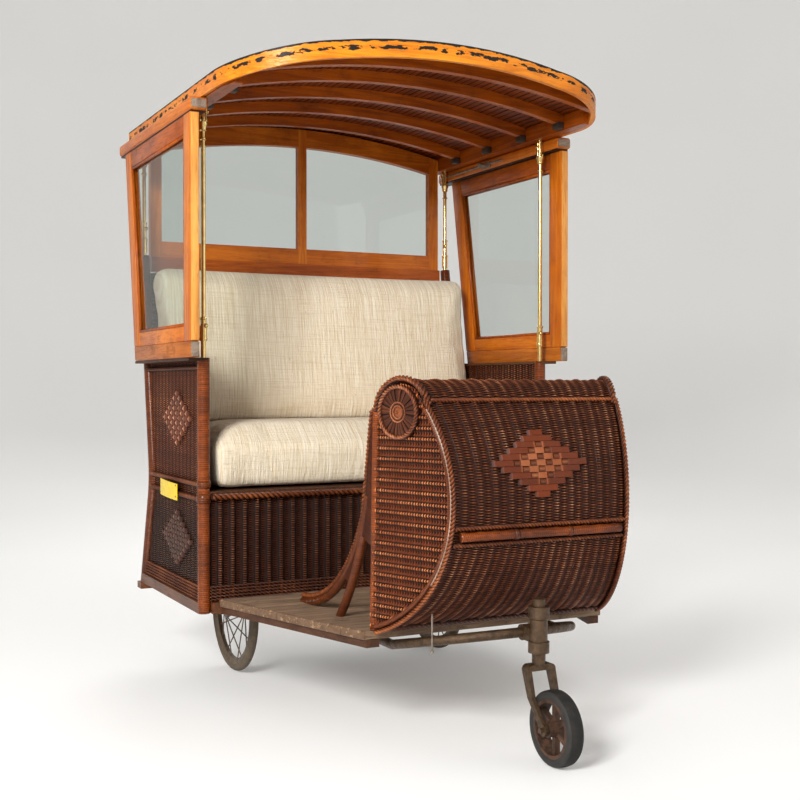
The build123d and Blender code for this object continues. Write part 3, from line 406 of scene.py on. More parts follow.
def woven(name, hollow_shade_colour, turn, proud, wear_and_highlight, grime_and_shade=0.0):
    """Stained cane strands, with painted light by how far they stand proud, and painted shade and dirt
    darker towards the ground.
    """
    material, graph, shader = new_material(name)
    out = graph.use(CANE, Relief=graph.value_of("relief"), Tone=graph.value_of("tone"),
                    Hollow=hollow_shade_colour, Turn=turn, Proud=proud, Worn=wear_and_highlight)
    # Painted shade and dirt: the cane darkens towards the ground by the given amount.
    dim = graph.span(graph.axes()["Z"], SEAT_Z - 0.10, SEAT_Z + 0.06, grime_and_shade, 0.0)
    graph.join(graph.mix(dim, out["Colour"], srgb(24, 12, 6)), shader["Base Color"])
    graph.join(out["Gloss"], shader["Roughness"])
    tuned(shader, specular=0.25, coat=0.08, coat_rough=0.18)
    return material


def wrapped_cane(name, pale, deep):
    """Poles bound with fine flat cane, glossy and with wear in places."""
    material, graph, shader = new_material(name)
    along = graph.value_of("along")
    turns = graph.math("PINGPONG", along, CANE_WIDTH / 2)
    ring = graph.span(turns, 0.0, 0.0014)
    strip = graph.noise(graph.scaled(graph.place(), (30.0, 30.0, 260.0)), 1.0, 3.0, 0.6)
    colour = graph.mix(graph.span(strip, 0.3, 0.7), deep, pale)
    drift = graph.span(graph.noise(graph.place(), 9.0, 5.0, 0.6), 0.42, 0.66)
    colour = graph.mix(graph.math("MULTIPLY", drift, 0.7), colour, srgb(70, 30, 12))
    colour = graph.mix(graph.span(ring, 0.0, 1.0, 0.8, 0.0), colour, srgb(34, 14, 6))
    graph.join(colour, shader["Base Color"])
    graph.join(graph.span(drift, 0.0, 1.0, 0.26, 0.42), shader["Roughness"])
    tuned(shader, specular=0.22, coat=0.12, coat_rough=0.2)
    bumped(graph, shader, ring, 0.0008)
    return material


def linen():
    """Cream slub cloth: uneven warp threads up and over, finer weft across."""
    material, graph, shader = new_material("linen")
    place = graph.place()
    warp = graph.noise(graph.scaled(place, (300.0, 6.0, 6.0)), 1.0, 3.0, 0.65)
    slub = graph.noise(graph.scaled(place, (130.0, 26.0, 26.0)), 1.0, 3.0, 0.6)
    weft = graph.noise(graph.scaled(place, (8.0, 300.0, 300.0)), 1.0, 3.0, 0.65)
    colour = graph.mix(graph.span(warp, 0.32, 0.66), srgb(216, 194, 158), srgb(248, 236, 214))
    colour = graph.mix(graph.span(weft, 0.50, 0.72, 0.0, 0.45), colour, srgb(202, 178, 142))
    fleck = graph.span(graph.noise(graph.scaled(place, (150.0, 40.0, 40.0)), 1.0, 2.0, 0.5), 0.72, 0.78)
    colour = graph.mix(graph.math("MULTIPLY", fleck, 0.5), colour, srgb(132, 104, 70))
    graph.join(colour, shader["Base Color"])
    tuned(shader, rough=0.92, sheen=0.15)
    height = graph.math("ADD", graph.math("MULTIPLY", warp, 0.7), graph.math("MULTIPLY", slub, 1.0))
    height = graph.math("ADD", height, graph.math("MULTIPLY", weft, 0.7))
    bumped(graph, shader, height, 0.0034)
    return material


def hoop_wood():
    """Bent oak of the roof's edge, with old black paint left in flakes along its upper half."""
    material, graph, shader = new_material("hoop_oak")
    place = graph.place()
    out = graph.use(GRAIN, Vector=graph.scaled(place, (2.2, 9.0, 46.0)), Pale=srgb(242, 152, 30),
                    Deep=srgb(208, 108, 12), Grime=0.25)
    axes = graph.axes()
    low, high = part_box("roof_hoop")
    half = high.x
    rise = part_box("roof_cover")[1].z - (low.z + HOOP_HEIGHT)
    bow = (half**2 + rise**2) / rise
    fall = graph.math("DIVIDE", graph.math("MULTIPLY", axes["X"], axes["X"]), bow)
    below = graph.math("SUBTRACT", graph.math("SUBTRACT", high.z, fall), axes["Z"])
    flake = graph.noise(graph.scaled(place, (32.0, 32.0, 70.0)), 1.0, 5.0, 0.6)
    row = graph.math("MULTIPLY", graph.span(below, 0.010, 0.016), graph.span(below, 0.024, 0.033, 1.0, 0.0))
    spots = graph.span(graph.math("ADD", flake, graph.math("MULTIPLY", row, 0.30)), 0.795, 0.812)
    ragged = graph.math("ADD", below, graph.math("MULTIPLY", flake, -0.016))
    rim = graph.span(ragged, -0.0030, -0.0022, 1.0, 0.0)
    paint = graph.math("MAXIMUM", spots, rim)
    graph.join(graph.mix(paint, out["Colour"], srgb(28, 22, 18)), shader["Base Color"])
    graph.join(graph.math("ADD", graph.math("MULTIPLY", paint, 0.3), 0.38), shader["Roughness"])
    tuned(shader, specular=0.25, coat=0.08, coat_rough=0.35)
    bumped(graph, shader, graph.math("ADD", paint, out["Height"]), 0.0006)
    return material


def rear_frame_wood():
    """Oak of the rear window: grain up its stiles and mullion, and along its arch and foot."""
    material, graph, shader = new_material("rear_frame_oak")
    place = graph.place()
    off = graph.math("ABSOLUTE", graph.axes()["X"])
    mullion = graph.math("LESS_THAN", off, REAR_MULLION_HALF)
    stile = graph.math("GREATER_THAN", off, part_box("rear_window")[1].x - REAR_STILE)
    upright = graph.math("MAXIMUM", mullion, stile)
    level = graph.use(GRAIN, Vector=graph.scaled(place, (1.7, 26.0, 26.0)), Pale=srgb(214, 116, 22),
                      Deep=srgb(160, 74, 8), Grime=0.4)
    rising = graph.use(GRAIN, Vector=graph.scaled(place, (26.0, 26.0, 1.7)), Pale=srgb(228, 134, 32),
                       Deep=srgb(180, 86, 12), Grime=0.3)
    graph.join(graph.mix(upright, level["Colour"], rising["Colour"]), shader["Base Color"])
    tuned(shader, rough=0.38, specular=0.22, coat=0.12)
    bumped(graph, shader, graph.math("ADD", level["Height"], rising["Height"]), 0.0003)
    return material


def slat_wood():
    """Narrow beaded boards of the roof's underside."""
    material, graph, shader = new_material("slat_oak")
    place = graph.place()
    out = graph.use(GRAIN, Vector=graph.scaled(place, (60.0, 1.6, 20.0)), Pale=srgb(134, 56, 6),
                    Deep=srgb(90, 32, 3), Grime=0.55)
    bead = graph.math("PINGPONG", graph.axes()["X"], BEAD_PITCH / 2)
    groove = graph.span(bead, 0.0, BEAD_PITCH / 5)
    graph.join(graph.mix(groove, srgb(24, 9, 3), out["Colour"]), shader["Base Color"])
    tuned(shader, rough=0.45, specular=0.22)
    bumped(graph, shader, groove, 0.003)
    return material


def board_wood():
    """Weathered grey-brown planks underfoot, pale where they are chipped."""
    material, graph, shader = new_material("floor_wood")
    place = graph.place()
    out = graph.use(GRAIN, Vector=graph.scaled(place, (2.2, 34.0, 34.0)), Pale=srgb(160, 131, 104),
                    Deep=srgb(108, 82, 60), Grime=0.8)
    chip = graph.span(graph.noise(place, 60.0, 6.0, 0.7), 0.54, 0.62)
    edge = graph.value_of("edge")
    chips = graph.math("MULTIPLY", chip, edge)
    colour = graph.mix(graph.math("MULTIPLY", edge, 0.55), out["Colour"], srgb(92, 60, 34))
    graph.join(graph.mix(chips, colour, srgb(184, 144, 104)), shader["Base Color"])
    tuned(shader, rough=0.72)
    bumped(graph, shader, graph.math("SUBTRACT", out["Height"], chips), 0.0012)
    return material


def glass():
    """Thin clear window glass: a faint mirror over what lies behind it."""
    material, graph, shader = new_material("glass")
    dust = graph.span(graph.noise(graph.place(), 9.0, 5.0, 0.6), 0.4, 0.7)
    graph.join(graph.mix(dust, srgb(238, 242, 240), srgb(222, 228, 226)), shader["Base Color"])
    tuned(shader, metallic=1.0, rough=0.03)
    clear = graph.add("ShaderNodeBsdfTransparent")
    clear.inputs["Color"].default_value = (0.86, 0.89, 0.88, 1.0)
    facing = graph.add("ShaderNodeFresnel")
    facing.inputs["IOR"].default_value = 1.45
    inside = graph.add("ShaderNodeNewGeometry").outputs["Backfacing"]
    seen = graph.math("MULTIPLY", facing.outputs[0], graph.math("SUBTRACT", 1.0, inside))
    either = graph.add("ShaderNodeMixShader")
    graph.join(seen, either.inputs[0])
    graph.join(clear.outputs[0], either.inputs[1])
    graph.join(material.node_tree.nodes["Principled BSDF"].outputs[0], either.inputs[2])
    graph.join(either.outputs[0], material.node_tree.nodes["Material Output"].inputs["Surface"])
    return material


OAK = {axis: wood(f"oak_{axis.lower()}", axis, srgb(220, 124, 24), srgb(172, 78, 8)) for axis in "XYZ"}
DEEP_OAK = {axis: wood(f"deep_oak_{axis.lower()}", axis, srgb(186, 90, 10), srgb(132, 55, 4), 0.45)
            for axis in "XYZ"}
PALE_OAK = wood("pale_oak", "Z", srgb(234, 166, 82), srgb(206, 130, 54), 0.15)
DULL_OAK = {axis: wood(f"dull_oak_{axis.lower()}", axis, srgb(196, 110, 28), srgb(144, 70, 14),
                       0.5, 0.42, 0.15)
            for axis in "XY"}
GREY_WOOD = wood("grey_end_grain", "Y", srgb(158, 140, 122), srgb(108, 90, 76), 0.5, 0.6, 0.0)
DARK_WOOD = wood("dark_wood", "Y", srgb(92, 56, 34), srgb(56, 32, 18), 0.6, 0.5, 0.1)
SILL_WOOD = wood("sill_wood", "Y", srgb(116, 68, 38), srgb(70, 38, 20), 0.6, 0.45, 0.15)
SCUFF = wood("scuffed_cane", "Z", srgb(186, 160, 140), srgb(128, 96, 74), 0.4, 0.4, 0.1)
# Dark fill for recesses: painted shade behind the rosette spokes and in the reveal under the plate noses.
SHADE_FILL = wood("shade_fill_cane", "Z", srgb(44, 20, 10), srgb(26, 11, 6), 0.3, 0.5, 0.1)
KNOB = wood("turned_knob", "X", srgb(136, 72, 34), srgb(96, 46, 20), 0.2, 0.3, 0.3)
WICKER = woven("wicker", srgb(14, 5, 1), srgb(92, 40, 14), srgb(142, 76, 36), srgb(222, 172, 130))
# The side panels, side reeds and pale stakes below darken towards the ground: painted shade and dirt.
SIDE_WICKER = woven("side_wicker", srgb(12, 4, 1), srgb(96, 38, 7), srgb(174, 86, 26),
                    srgb(246, 190, 126), 0.74)
# A lit copy of the wicker, lighter all over: painted light, for the dash sides.
LIT_WICKER = woven("painted_lit_wicker", srgb(16, 6, 2), srgb(132, 58, 15), srgb(182, 96, 38),
                      srgb(214, 148, 92))
DARK_WICKER = woven("dark_wicker", srgb(12, 5, 2), srgb(72, 29, 9), srgb(108, 52, 22), srgb(178, 114, 76))
BRAID = woven("braid", srgb(12, 4, 1), srgb(64, 26, 8), srgb(102, 47, 16), srgb(150, 84, 42))
BORDER = woven("border", srgb(12, 4, 1), srgb(58, 24, 8), srgb(84, 38, 14), srgb(124, 72, 42))
REED = woven("flat_reed", srgb(20, 7, 2), srgb(98, 39, 8), srgb(152, 73, 24), srgb(204, 140, 94))
SIDE_REED = woven("side_reed", srgb(20, 7, 2), srgb(104, 42, 8), srgb(156, 76, 26), srgb(198, 132, 88), 0.66)
PALE_STAKE = woven("pale_stake", srgb(60, 28, 14), srgb(130, 76, 44), srgb(186, 130, 92),
                   srgb(216, 168, 134), 0.66)
WRAPPED = wrapped_cane("wrapped_cane", srgb(168, 80, 22), srgb(110, 48, 12))
# A darker copy of the wrapped cane; on the rear posts it is painted shade.
DARK_WRAPPED = wrapped_cane("dark_wrapped_cane", srgb(134, 64, 20), srgb(84, 37, 11))
LINEN = linen()
HOOP_OAK = hoop_wood()
SLAT_OAK = slat_wood()
REAR_OAK = rear_frame_wood()
FLOOR_WOOD = board_wood()
GLASS = glass()
BRASS = metal("brass", srgb(236, 206, 136), srgb(150, 112, 56), 0.4, 0.16, 1.0, 40.0, 0.00004)
STEEL = metal("dull_steel", srgb(150, 138, 126), srgb(92, 70, 54), 0.6, 0.4, 0.8, 60.0)
BRONZE = metal("bronze_paint", srgb(88, 66, 44), srgb(44, 30, 19), 0.8, 0.32, 0.5, 60.0, 0.0016)
IRON = metal("black_iron", srgb(58, 50, 44), srgb(96, 64, 42), 0.5, 0.5, 0.5, 40.0)
RUST = metal("rusty_iron", srgb(58, 42, 32), srgb(112, 76, 54), 0.8, 0.5, 0.35, 55.0, 0.0012)
RIM = metal("grey_rim", srgb(112, 94, 74), srgb(74, 58, 42), 0.7, 0.5, 0.35, 40.0)
RUBBER = metal("rubber", srgb(32, 30, 28), srgb(62, 56, 51), 0.5, 0.66, 0.0, 50.0)
OLD_TYRE = metal("old_tyre", srgb(92, 80, 66), srgb(126, 110, 90), 0.6, 0.78, 0.0, 40.0)
ROOF_CLOTH = metal("roof_cloth", srgb(46, 40, 36), srgb(74, 64, 56), 0.5, 0.75, 0.0, 24.0, 0.001)
PLATE_YELLOW = metal("yellow_enamel", srgb(240, 206, 20), srgb(206, 160, 18), 0.4, 0.3, 0.0, 70.0, 0.0002)


# Shapes

def fresh():
    """Leave edit mode with nothing selected."""
    if bpy.context.object and bpy.context.object.mode != "OBJECT":
        bpy.ops.object.mode_set(mode="OBJECT")
    bpy.ops.object.select_all(action="DESELECT")


def dressed(piece, name, material, body=CHAIR):
    """Name a finished piece, give it its material and let it ride."""
    piece.name = name
    piece.data.name = name
    piece.data.materials.clear()
    piece.data.materials.append(material)
    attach(piece, body)
    return piece


def hold(piece):
    """Select one piece alone and make it the active one."""
    fresh()
    piece.select_set(True)
    bpy.context.view_layer.objects.active = piece


def settle(piece):
    """Put the piece's place into its mesh."""
    hold(piece)
    bpy.ops.object.transform_apply(location=True, rotation=True, scale=True)


def applied(piece, kind, **values):
    """Add a modifier with given values and put its result into the mesh."""
    modifier = piece.modifiers.new(kind, kind)
    for key, value in values.items():
        setattr(modifier, key, value)
    hold(piece)
    bpy.ops.object.modifier_apply(modifier=modifier.name)


def soften(piece, width, segments=2):
    """Round the piece's edges."""
    applied(piece, "BEVEL", width=width, segments=segments, limit_method="ANGLE")
    bpy.ops.object.shade_smooth_by_angle(angle=radians(40))


def block(low, high):
    """A block between two corners."""
    fresh()
    middle = [(a + b) / 2 for a, b in zip(low, high)]
    bpy.ops.mesh.primitive_cube_add(size=1, location=middle)
    piece = bpy.context.object
    piece.scale = [b - a for a, b in zip(low, high)]
    settle(piece)
    return piece


def shift_points(piece, chosen, move):
    """Move the chosen corners of a piece in edit mode."""
    hold(piece)
    bpy.ops.object.mode_set(mode="EDIT")
    bpy.ops.mesh.select_all(action="DESELECT")
    bpy.ops.object.mode_set(mode="OBJECT")
    for vertex in piece.data.vertices:
        vertex.select = chosen(vertex.co)
    bpy.ops.object.mode_set(mode="EDIT")
    bpy.ops.transform.translate(value=move)
    bpy.ops.object.mode_set(mode="OBJECT")


def turned(steps, place, axis="Z", sides=24, base=0.0):
    """A lathe-turned piece: (radius, height over a base) steps along an axis, extruded one by one."""
    fresh()
    steps = [(radius, base + height) for radius, height in steps]
    radius, height = steps[0]
    bpy.ops.mesh.primitive_circle_add(vertices=sides, radius=radius, fill_type="NGON",
                                      location=(0, 0, height))
    piece = bpy.context.object
    settle(piece)
    bpy.ops.object.mode_set(mode="EDIT")
    bpy.ops.mesh.select_all(action="SELECT")
    for wider, higher in steps[1:]:
        bpy.ops.mesh.extrude_region_move(TRANSFORM_OT_translate={"value": (0, 0, higher - height)})
        ratio = wider / radius
        bpy.ops.transform.resize(value=(ratio, ratio, 1), center_override=(0, 0, higher))
        radius, height = wider, higher
    bpy.ops.mesh.select_all(action="SELECT")
    bpy.ops.mesh.normals_make_consistent(inside=False)
    bpy.ops.object.mode_set(mode="OBJECT")
    if axis == "X":
        piece.rotation_euler = (0, pi / 2, 0)
    if axis == "Y":
        piece.rotation_euler = (-pi / 2, 0, 0)
    piece.location = place
    settle(piece)
    bpy.ops.object.shade_smooth_by_angle(angle=radians(35))
    return piece


def stud(steps, place, side):
    """A small turned head that looks out to one side."""
    piece = turned(steps, (0, 0, 0), sides=10)
    piece.rotation_euler = (0, side * pi / 2, 0)
    piece.location = place
    settle(piece)
    return piece


def merged(pieces):
    """Join pieces into one."""
    fresh()
    for piece in pieces:
        piece.select_set(True)
    bpy.context.view_layer.objects.active = pieces[0]
    bpy.ops.object.join()
    return bpy.context.object


def stands_in(pieces, node):
    """Hide the node's own parts, which the pieces stand in for, once for each piece."""
    for piece in pieces:
        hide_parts(node)


def spread(across, upward, turn):
    """Ways from each point of a path to the corners of the ring round it."""
    return across[:, None, :] * np.cos(turn)[:, None] + upward[:, None, :] * np.sin(turn)[:, None]


def tube_faces(first, count, sides):
    """Faces of a closed tube of rings, its points counted from the first."""
    ring = np.arange(sides)
    beside = (ring + 1) % sides
    start = first + np.arange(count - 1)[:, None] * sides
    on = start + sides
    around = np.stack([start + ring, start + beside, on + beside, on + ring], axis=-1).reshape(-1, 4)
    caps = np.array([(0, k, k + 1, k + 2) for k in range(1, sides - 2, 2)])
    last = first + (count - 1) * sides
    return np.concatenate([around, first + caps[:, ::-1], last + caps])


def strands(name, material, paths, sides=4, boxed=False):
    """Many thin bars in one mesh, round or boxed. A path is (centres, half axes, reliefs, tone)."""
    points, faces, reliefs, tones = [], [], [], []
    first = 0
    turn = (np.arange(sides) + 0.5 * boxed) * 2 * pi / sides
    reach = 2**0.5 if boxed else 1.0
    for centres, across, upward, relief, tone in paths:
        count = len(centres)
        if np.dot(np.cross(across[0], upward[0]), centres[1] - centres[0]) < 0:
            upward = -upward
        points.append((centres[:, None, :] + spread(across, upward, turn) * reach).reshape(-1, 3))
        faces.append(tube_faces(first, count, sides))
        reliefs.append(np.asarray(relief).reshape(-1))
        tones.append(np.full(count * sides, tone))
        first += count * sides
    piece = quad_mesh(name, material, np.concatenate(points), np.concatenate(faces),
                      relief=np.concatenate(reliefs), tone=np.concatenate(tones))
    if boxed:
        piece.data.polygons.foreach_set("use_smooth", np.zeros(len(piece.data.polygons), dtype=bool))
    return piece


def quad_mesh(name, material, points, faces, body=CHAIR, **values):
    """A mesh of four-sided faces from arrays, with named values on its points."""
    mesh = bpy.data.meshes.new(name)
    mesh.vertices.add(len(points))
    mesh.vertices.foreach_set("co", np.ascontiguousarray(points, dtype=np.float32).ravel())
    mesh.loops.add(len(faces) * 4)
    mesh.loops.foreach_set("vertex_index", np.ascontiguousarray(faces, dtype=np.int32).ravel())
    mesh.polygons.add(len(faces))
    mesh.polygons.foreach_set("loop_start", np.arange(len(faces), dtype=np.int32) * 4)
    mesh.polygons.foreach_set("use_smooth", np.ones(len(faces), dtype=bool))
    for key, value in values.items():
        layer = mesh.attributes.new(key, "FLOAT", "POINT")
        layer.data.foreach_set("value", np.ascontiguousarray(value, dtype=np.float32))
    mesh.update(calc_edges=True)
    mesh.validate()
    piece = bpy.data.objects.new(name, mesh)
    bpy.context.collection.objects.link(piece)
    return dressed(piece, name, material, body)


def unit(vectors):
    """Vectors brought to length one."""
    return vectors / np.linalg.norm(vectors, axis=-1, keepdims=True)


def carried_frames(points):
    """Headings along a path and two side directions that turn with it as little as they can."""
    heading = unit(np.gradient(points, axis=0))
    side = np.cross(heading[0], UP)
    if np.linalg.norm(side) < 0.1:
        side = np.cross(heading[0], (1.0, 0.0, 0.0))
    sides = [side / np.linalg.norm(side)]
    for way in heading[1:]:
        side = sides[-1] - way * np.dot(sides[-1], way)
        sides.append(side / np.linalg.norm(side))
    sides = np.array(sides)
    return heading, sides, np.cross(heading, sides)


def evenly(points, step, values=None):
    """Points, or values given for them, at even steps along a path, and how far along each lies."""
    points = np.asarray(points, dtype=float)
    reach = np.concatenate(([0.0], np.cumsum(np.linalg.norm(np.diff(points, axis=0), axis=1))))
    count = max(2, int(round(reach[-1] / step)) + 1)
    along = np.linspace(0.0, reach[-1], count)
    taken = points if values is None else values
    return np.stack([np.interp(along, reach, taken[:, k]) for k in range(3)], axis=1), along


def bound_pole(name, paths, radius, node=None, sides=16, material=WRAPPED):
    """Poles wrapped in cane along given paths."""
    points, faces, lengths = [], [], []
    first = 0
    turn = np.arange(sides) * 2 * pi / sides
    for path in paths:
        centres, along = evenly(path, POLE_STEP)
        _, left, up = carried_frames(centres)
        count = len(centres)
        points.append((centres[:, None, :] + radius * spread(left, up, turn)).reshape(-1, 3))
        faces.append(tube_faces(first, count, sides))
        lengths.append(np.repeat(along, sides))
        first += count * sides
    piece = quad_mesh(name, material, np.concatenate(points), np.concatenate(faces),
                      along=np.concatenate(lengths))
    if node:
        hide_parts(node)


def braid_paths(path, outward, braid, count):
    """Strands twisted round a path, toned by how far they stand outward: painted highlight where they face
    out, painted shade where they turn in.
    """
    radius, pitch = braid
    centres, along = evenly(path, pitch / BRAID_STEPS)
    heading = unit(np.gradient(centres, axis=0))
    outward = np.broadcast_to(np.asarray(outward, dtype=float), centres.shape)
    out = unit(outward - heading * np.sum(outward * heading, axis=1, keepdims=True))
    side = np.cross(heading, out)
    made = []
    for strand in range(count):
        angle = 2 * pi * (along / pitch + strand / count)
        lift = np.cos(angle)
        middle = centres + radius * (out * lift[:, None] + side * np.sin(angle)[:, None])
        # Painted light: lighter as a strand turns outward.
        relief = np.repeat((0.55 + 0.45 * lift)[:, None], 6, axis=1)
        made.append((middle, out * radius * 0.85, side * radius * 0.85, relief, 0.3 + 0.7 * rng.random()))
    return made


def mirrored(x, curve):
    """A curve in (Y, Z) as one path on each side."""
    return [np.stack([np.full(len(curve), side * x), curve[:, 0], curve[:, 1]], axis=1) for side, _ in SIDES]


def arc(centre, radius, start, end, count):
    """Points of an arc between two angles in radians."""
    angles = np.linspace(start, end, count)
    return np.stack([centre[0] + radius * np.cos(angles), centre[1] + radius * np.sin(angles)], axis=1)


def circle_through(a, b, c):
    """Centre and radius of the circle through three points of a plane."""
    (ax, ay), (bx, by), (cx, cy) = a, b, c
    d = 2 * (ax * (by - cy) + bx * (cy - ay) + cx * (ay - by))
    ux = ((ax**2 + ay**2) * (by - cy) + (bx**2 + by**2) * (cy - ay) + (cx**2 + cy**2) * (ay - by)) / d
    uy = ((ax**2 + ay**2) * (cx - bx) + (bx**2 + by**2) * (ax - cx) + (cx**2 + cy**2) * (bx - ax)) / d
    return (ux, uy), hypot(ax - ux, ay - uy)


def rounded(start, corner, end, radius, count=14):
    """A corner between two straight runs, rounded by a radius."""
    start, corner, end = (np.array(p, dtype=float) for p in (start, corner, end))
    back = unit(start - corner)
    on = unit(end - corner)
    half = np.arccos(np.clip(np.dot(back, on), -1, 1)) / 2
    reach = radius / tan(half)
    centre = corner + unit(back + on) * radius / sin(half)
    first = corner + back * reach - centre
    last = corner + on * reach - centre
    a0 = atan2(first[1], first[0])
    turn = (atan2(last[1], last[0]) - a0 + pi) % (2 * pi) - pi
    return np.concatenate([[start], arc(centre, radius, a0, a0 + turn, count), [end]])


# Rear line of the seat box and profile of the dash
rear_curve = rounded((REAR_FOOT_Y, FOOT_Z), (REAR_WAIST_Y, SEAT_Z), (REAR_TOP_Y, REAR_TOP_Z), WAIST_RADIUS)


def rear_y(z):
    """Y of the rear posts' middle at a height."""
    return np.interp(z, rear_curve[:, 1], rear_curve[:, 0])


def dash_outline(inset):
    """The dash's outside in (Y, Z) from its toe over the roll to its lip, drawn in by an inset."""
    toe = (DASH_REAR_Y - DASH_TOE, FLOOR_Z)
    belly = (DASH_REAR_Y - DASH_BELLY[0], FLOOR_Z + DASH_BELLY[1])
    bulge = (DASH_REAR_Y - DASH_DEPTH, FLOOR_Z + DASH_BULGE_HEIGHT)
    roll = (DASH_REAR_Y - DASH_ROLL_REACH, FLOOR_Z + DASH_ROLL_HEIGHT)
    join_turn = radians(180 - DASH_ROLL_JOIN)
    join = (roll[0] + DASH_ROLL_RADIUS * cos(join_turn), roll[1] + DASH_ROLL_RADIUS * sin(join_turn))
    low_centre, low_radius = circle_through(toe, belly, bulge)
    a_toe = atan2(toe[1] - low_centre[1], toe[0] - low_centre[0]) % (2 * pi)
    a_bulge = atan2(bulge[1] - low_centre[1], bulge[0] - low_centre[0]) % (2 * pi)
    inward = ((low_centre[0] - bulge[0]) / low_radius, (low_centre[1] - bulge[1]) / low_radius)
    to_join = (join[0] - bulge[0], join[1] - bulge[1])
    reach = (to_join[0] ** 2 + to_join[1] ** 2) / (2 * (inward[0] * to_join[0] + inward[1] * to_join[1]))
    high_centre = (bulge[0] + inward[0] * reach, bulge[1] + inward[1] * reach)
    a_low = atan2(bulge[1] - high_centre[1], bulge[0] - high_centre[0]) % (2 * pi)
    a_high = atan2(join[1] - high_centre[1], join[0] - high_centre[0]) % (2 * pi)
    under = arc(low_centre, low_radius - inset, a_toe, a_bulge, DASH_ARC_POINTS)
    face = arc(high_centre, abs(reach) - inset, a_low, a_high, DASH_FACE_POINTS)
    over = arc(roll, DASH_ROLL_RADIUS - inset, join_turn, 0.0, DASH_ARC_POINTS)
    return np.concatenate([under, face[1:], over])


def dash_half(y):
    """Half the dash's width at a Y."""
    return DASH_REAR_X - (DASH_REAR_X - DASH_FRONT_X) * (DASH_REAR_Y - y) / DASH_DEPTH


def dash_side_ways(side):
    """Outward and forward directions of a dash side, which draws in towards the front."""
    slope = (DASH_REAR_X - DASH_FRONT_X) / DASH_DEPTH
    return unit(np.array([side, -slope, 0.0])), unit(np.array([-side * slope, -1.0, 0.0]))


class Surface:
    """A strip of wall: an outline in (Y, Z) that a row's reach is measured along."""

    def __init__(self, outline):
        self.outline = outline
        steps = np.linalg.norm(np.diff(outline, axis=0), axis=1)
        self.reach = np.concatenate(([0.0], np.cumsum(steps)))
        self.heading = unit(np.gradient(outline, axis=0))
        self.length = self.reach[-1]

    def at(self, reach):
        y, z = (np.interp(reach, self.reach, self.outline[:, k]) for k in (0, 1))
        hy, hz = (np.interp(reach, self.reach, self.heading[:, k]) for k in (0, 1))
        size = hypot(hy, hz)
        return y, z, hy / size, hz / size


dash_face = Surface(dash_outline(DASH_WALL / 2))
dash_skin = Surface(dash_outline(0.0))
ROLL_START_Z = FLOOR_Z + DASH_ROLL_HEIGHT + DASH_ROLL_RADIUS * sin(radians(DASH_ROLL_JOIN))
DASH_ROLL_START = np.interp(ROLL_START_Z, dash_skin.outline[:RISING_POINTS, 1],
                            dash_skin.reach[:RISING_POINTS])
BAR_REACH = np.interp(BAR_Z, dash_skin.outline[:UNDER_POINTS, 1], dash_skin.reach[:UNDER_POINTS])


# Woven walls

def wall_points(x, y, z, outward, rising):
    """Points from coordinates that are arrays or numbers, each with the same two directions."""
    points = np.stack(np.broadcast_arrays(x, y, z), axis=1)
    return points, np.broadcast_to(outward, points.shape), np.broadcast_to(rising, points.shape)


def flat_stakes(rows, place, ridge, overlap):
    """Flat stakes side by side in the middle of a wall, which close it behind the rows: with no relief they
    take the cane's darkest colour, a dark sheet of painted shade between the rows.
    """
    start = min(first for _, first, _ in rows)
    end = max(last for _, _, last in rows)
    made = []
    for stake in np.arange(np.ceil(start - overlap), np.floor(end + overlap) + 1):
        crossed = [row for row, first, last in rows if first - overlap <= stake <= last + overlap]
        if len(crossed) < FEWEST_ROWS:
            continue
        centres, outs, widths = [], [], []
        for row in crossed[:-4:STAKE_ROW_STEP] + crossed[-1:]:
            points, outward, _ = place(np.array([stake - 0.5, stake, stake + 0.5]), row)
            centres.append(points[1] + outward[1] * (ridge * cos(pi * stake) - STAKE_SET_BACK))
            outs.append(outward[1] * STAKE_HALF)
            widths.append((points[2] - points[0]) * 0.51)
        made.append((np.array(centres), np.array(outs), np.array(widths), np.zeros((len(centres), 4)), 0.3))
    return made


def woven_wall(name, material, rows, place, node, ridge, strand=STRAND, bulge=BULGE, overlap=0.5,
               uneven=0.00018):
    """Rows of cane that pass before and behind upright stakes.

    A row is (its place, first stake, last stake), counted in stakes, and place gives points, outward
    and rising directions."""
    paths = []
    for number, (row, first, last) in enumerate(rows):
        inner = np.arange(np.ceil(first * 2 + 0.2), np.floor(last * 2 - 0.2) + 1) / 2
        stakes = np.concatenate(([first], inner, [last]))
        weave = bulge * np.cos(pi * (stakes + number))
        swell = ridge * np.cos(pi * stakes)
        points, outward, rising = place(stakes, row)
        lift = weave + swell + rng.normal(0.0, uneven, len(stakes))
        # Reliefs for the cane's painted light: lighter where a row stands proud, painted shade where it lies
        # back.
        middle = points + outward * lift[:, None]
        front = weave + strand + 0.35 * swell
        behind = strand - weave - 0.35 * swell
        edge = np.abs(weave) * 0.5
        relief = np.stack([front, edge, behind, edge], axis=1) / (bulge + strand)
        paths.append((middle, outward * strand, rising * strand * 1.02, relief, rng.random()))
    paths += flat_stakes(rows, place, ridge, overlap)
    piece = strands(name, material, paths)
    stands_in([piece], node)


def make_side_weave(side, name):
    low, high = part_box(f"wicker_side_{name}")
    start = POST_Y + POST_RADIUS
    rows = []
    for z in np.arange(low.z + ROW_PITCH / 2, high.z, ROW_PITCH):
        reach = rear_y(z) - POST_TUCK - start
        rows.append((z, -0.4, reach / STAKE_PITCH))

    def place(stakes, z):
        return wall_points(side * POST_X, start + stakes * STAKE_PITCH, z, (float(side), 0.0, 0.0), UP)

    woven_wall(f"side_weave_{name}", SIDE_WICKER, rows, place, f"wicker_side_{name}", ridge=0.0008)


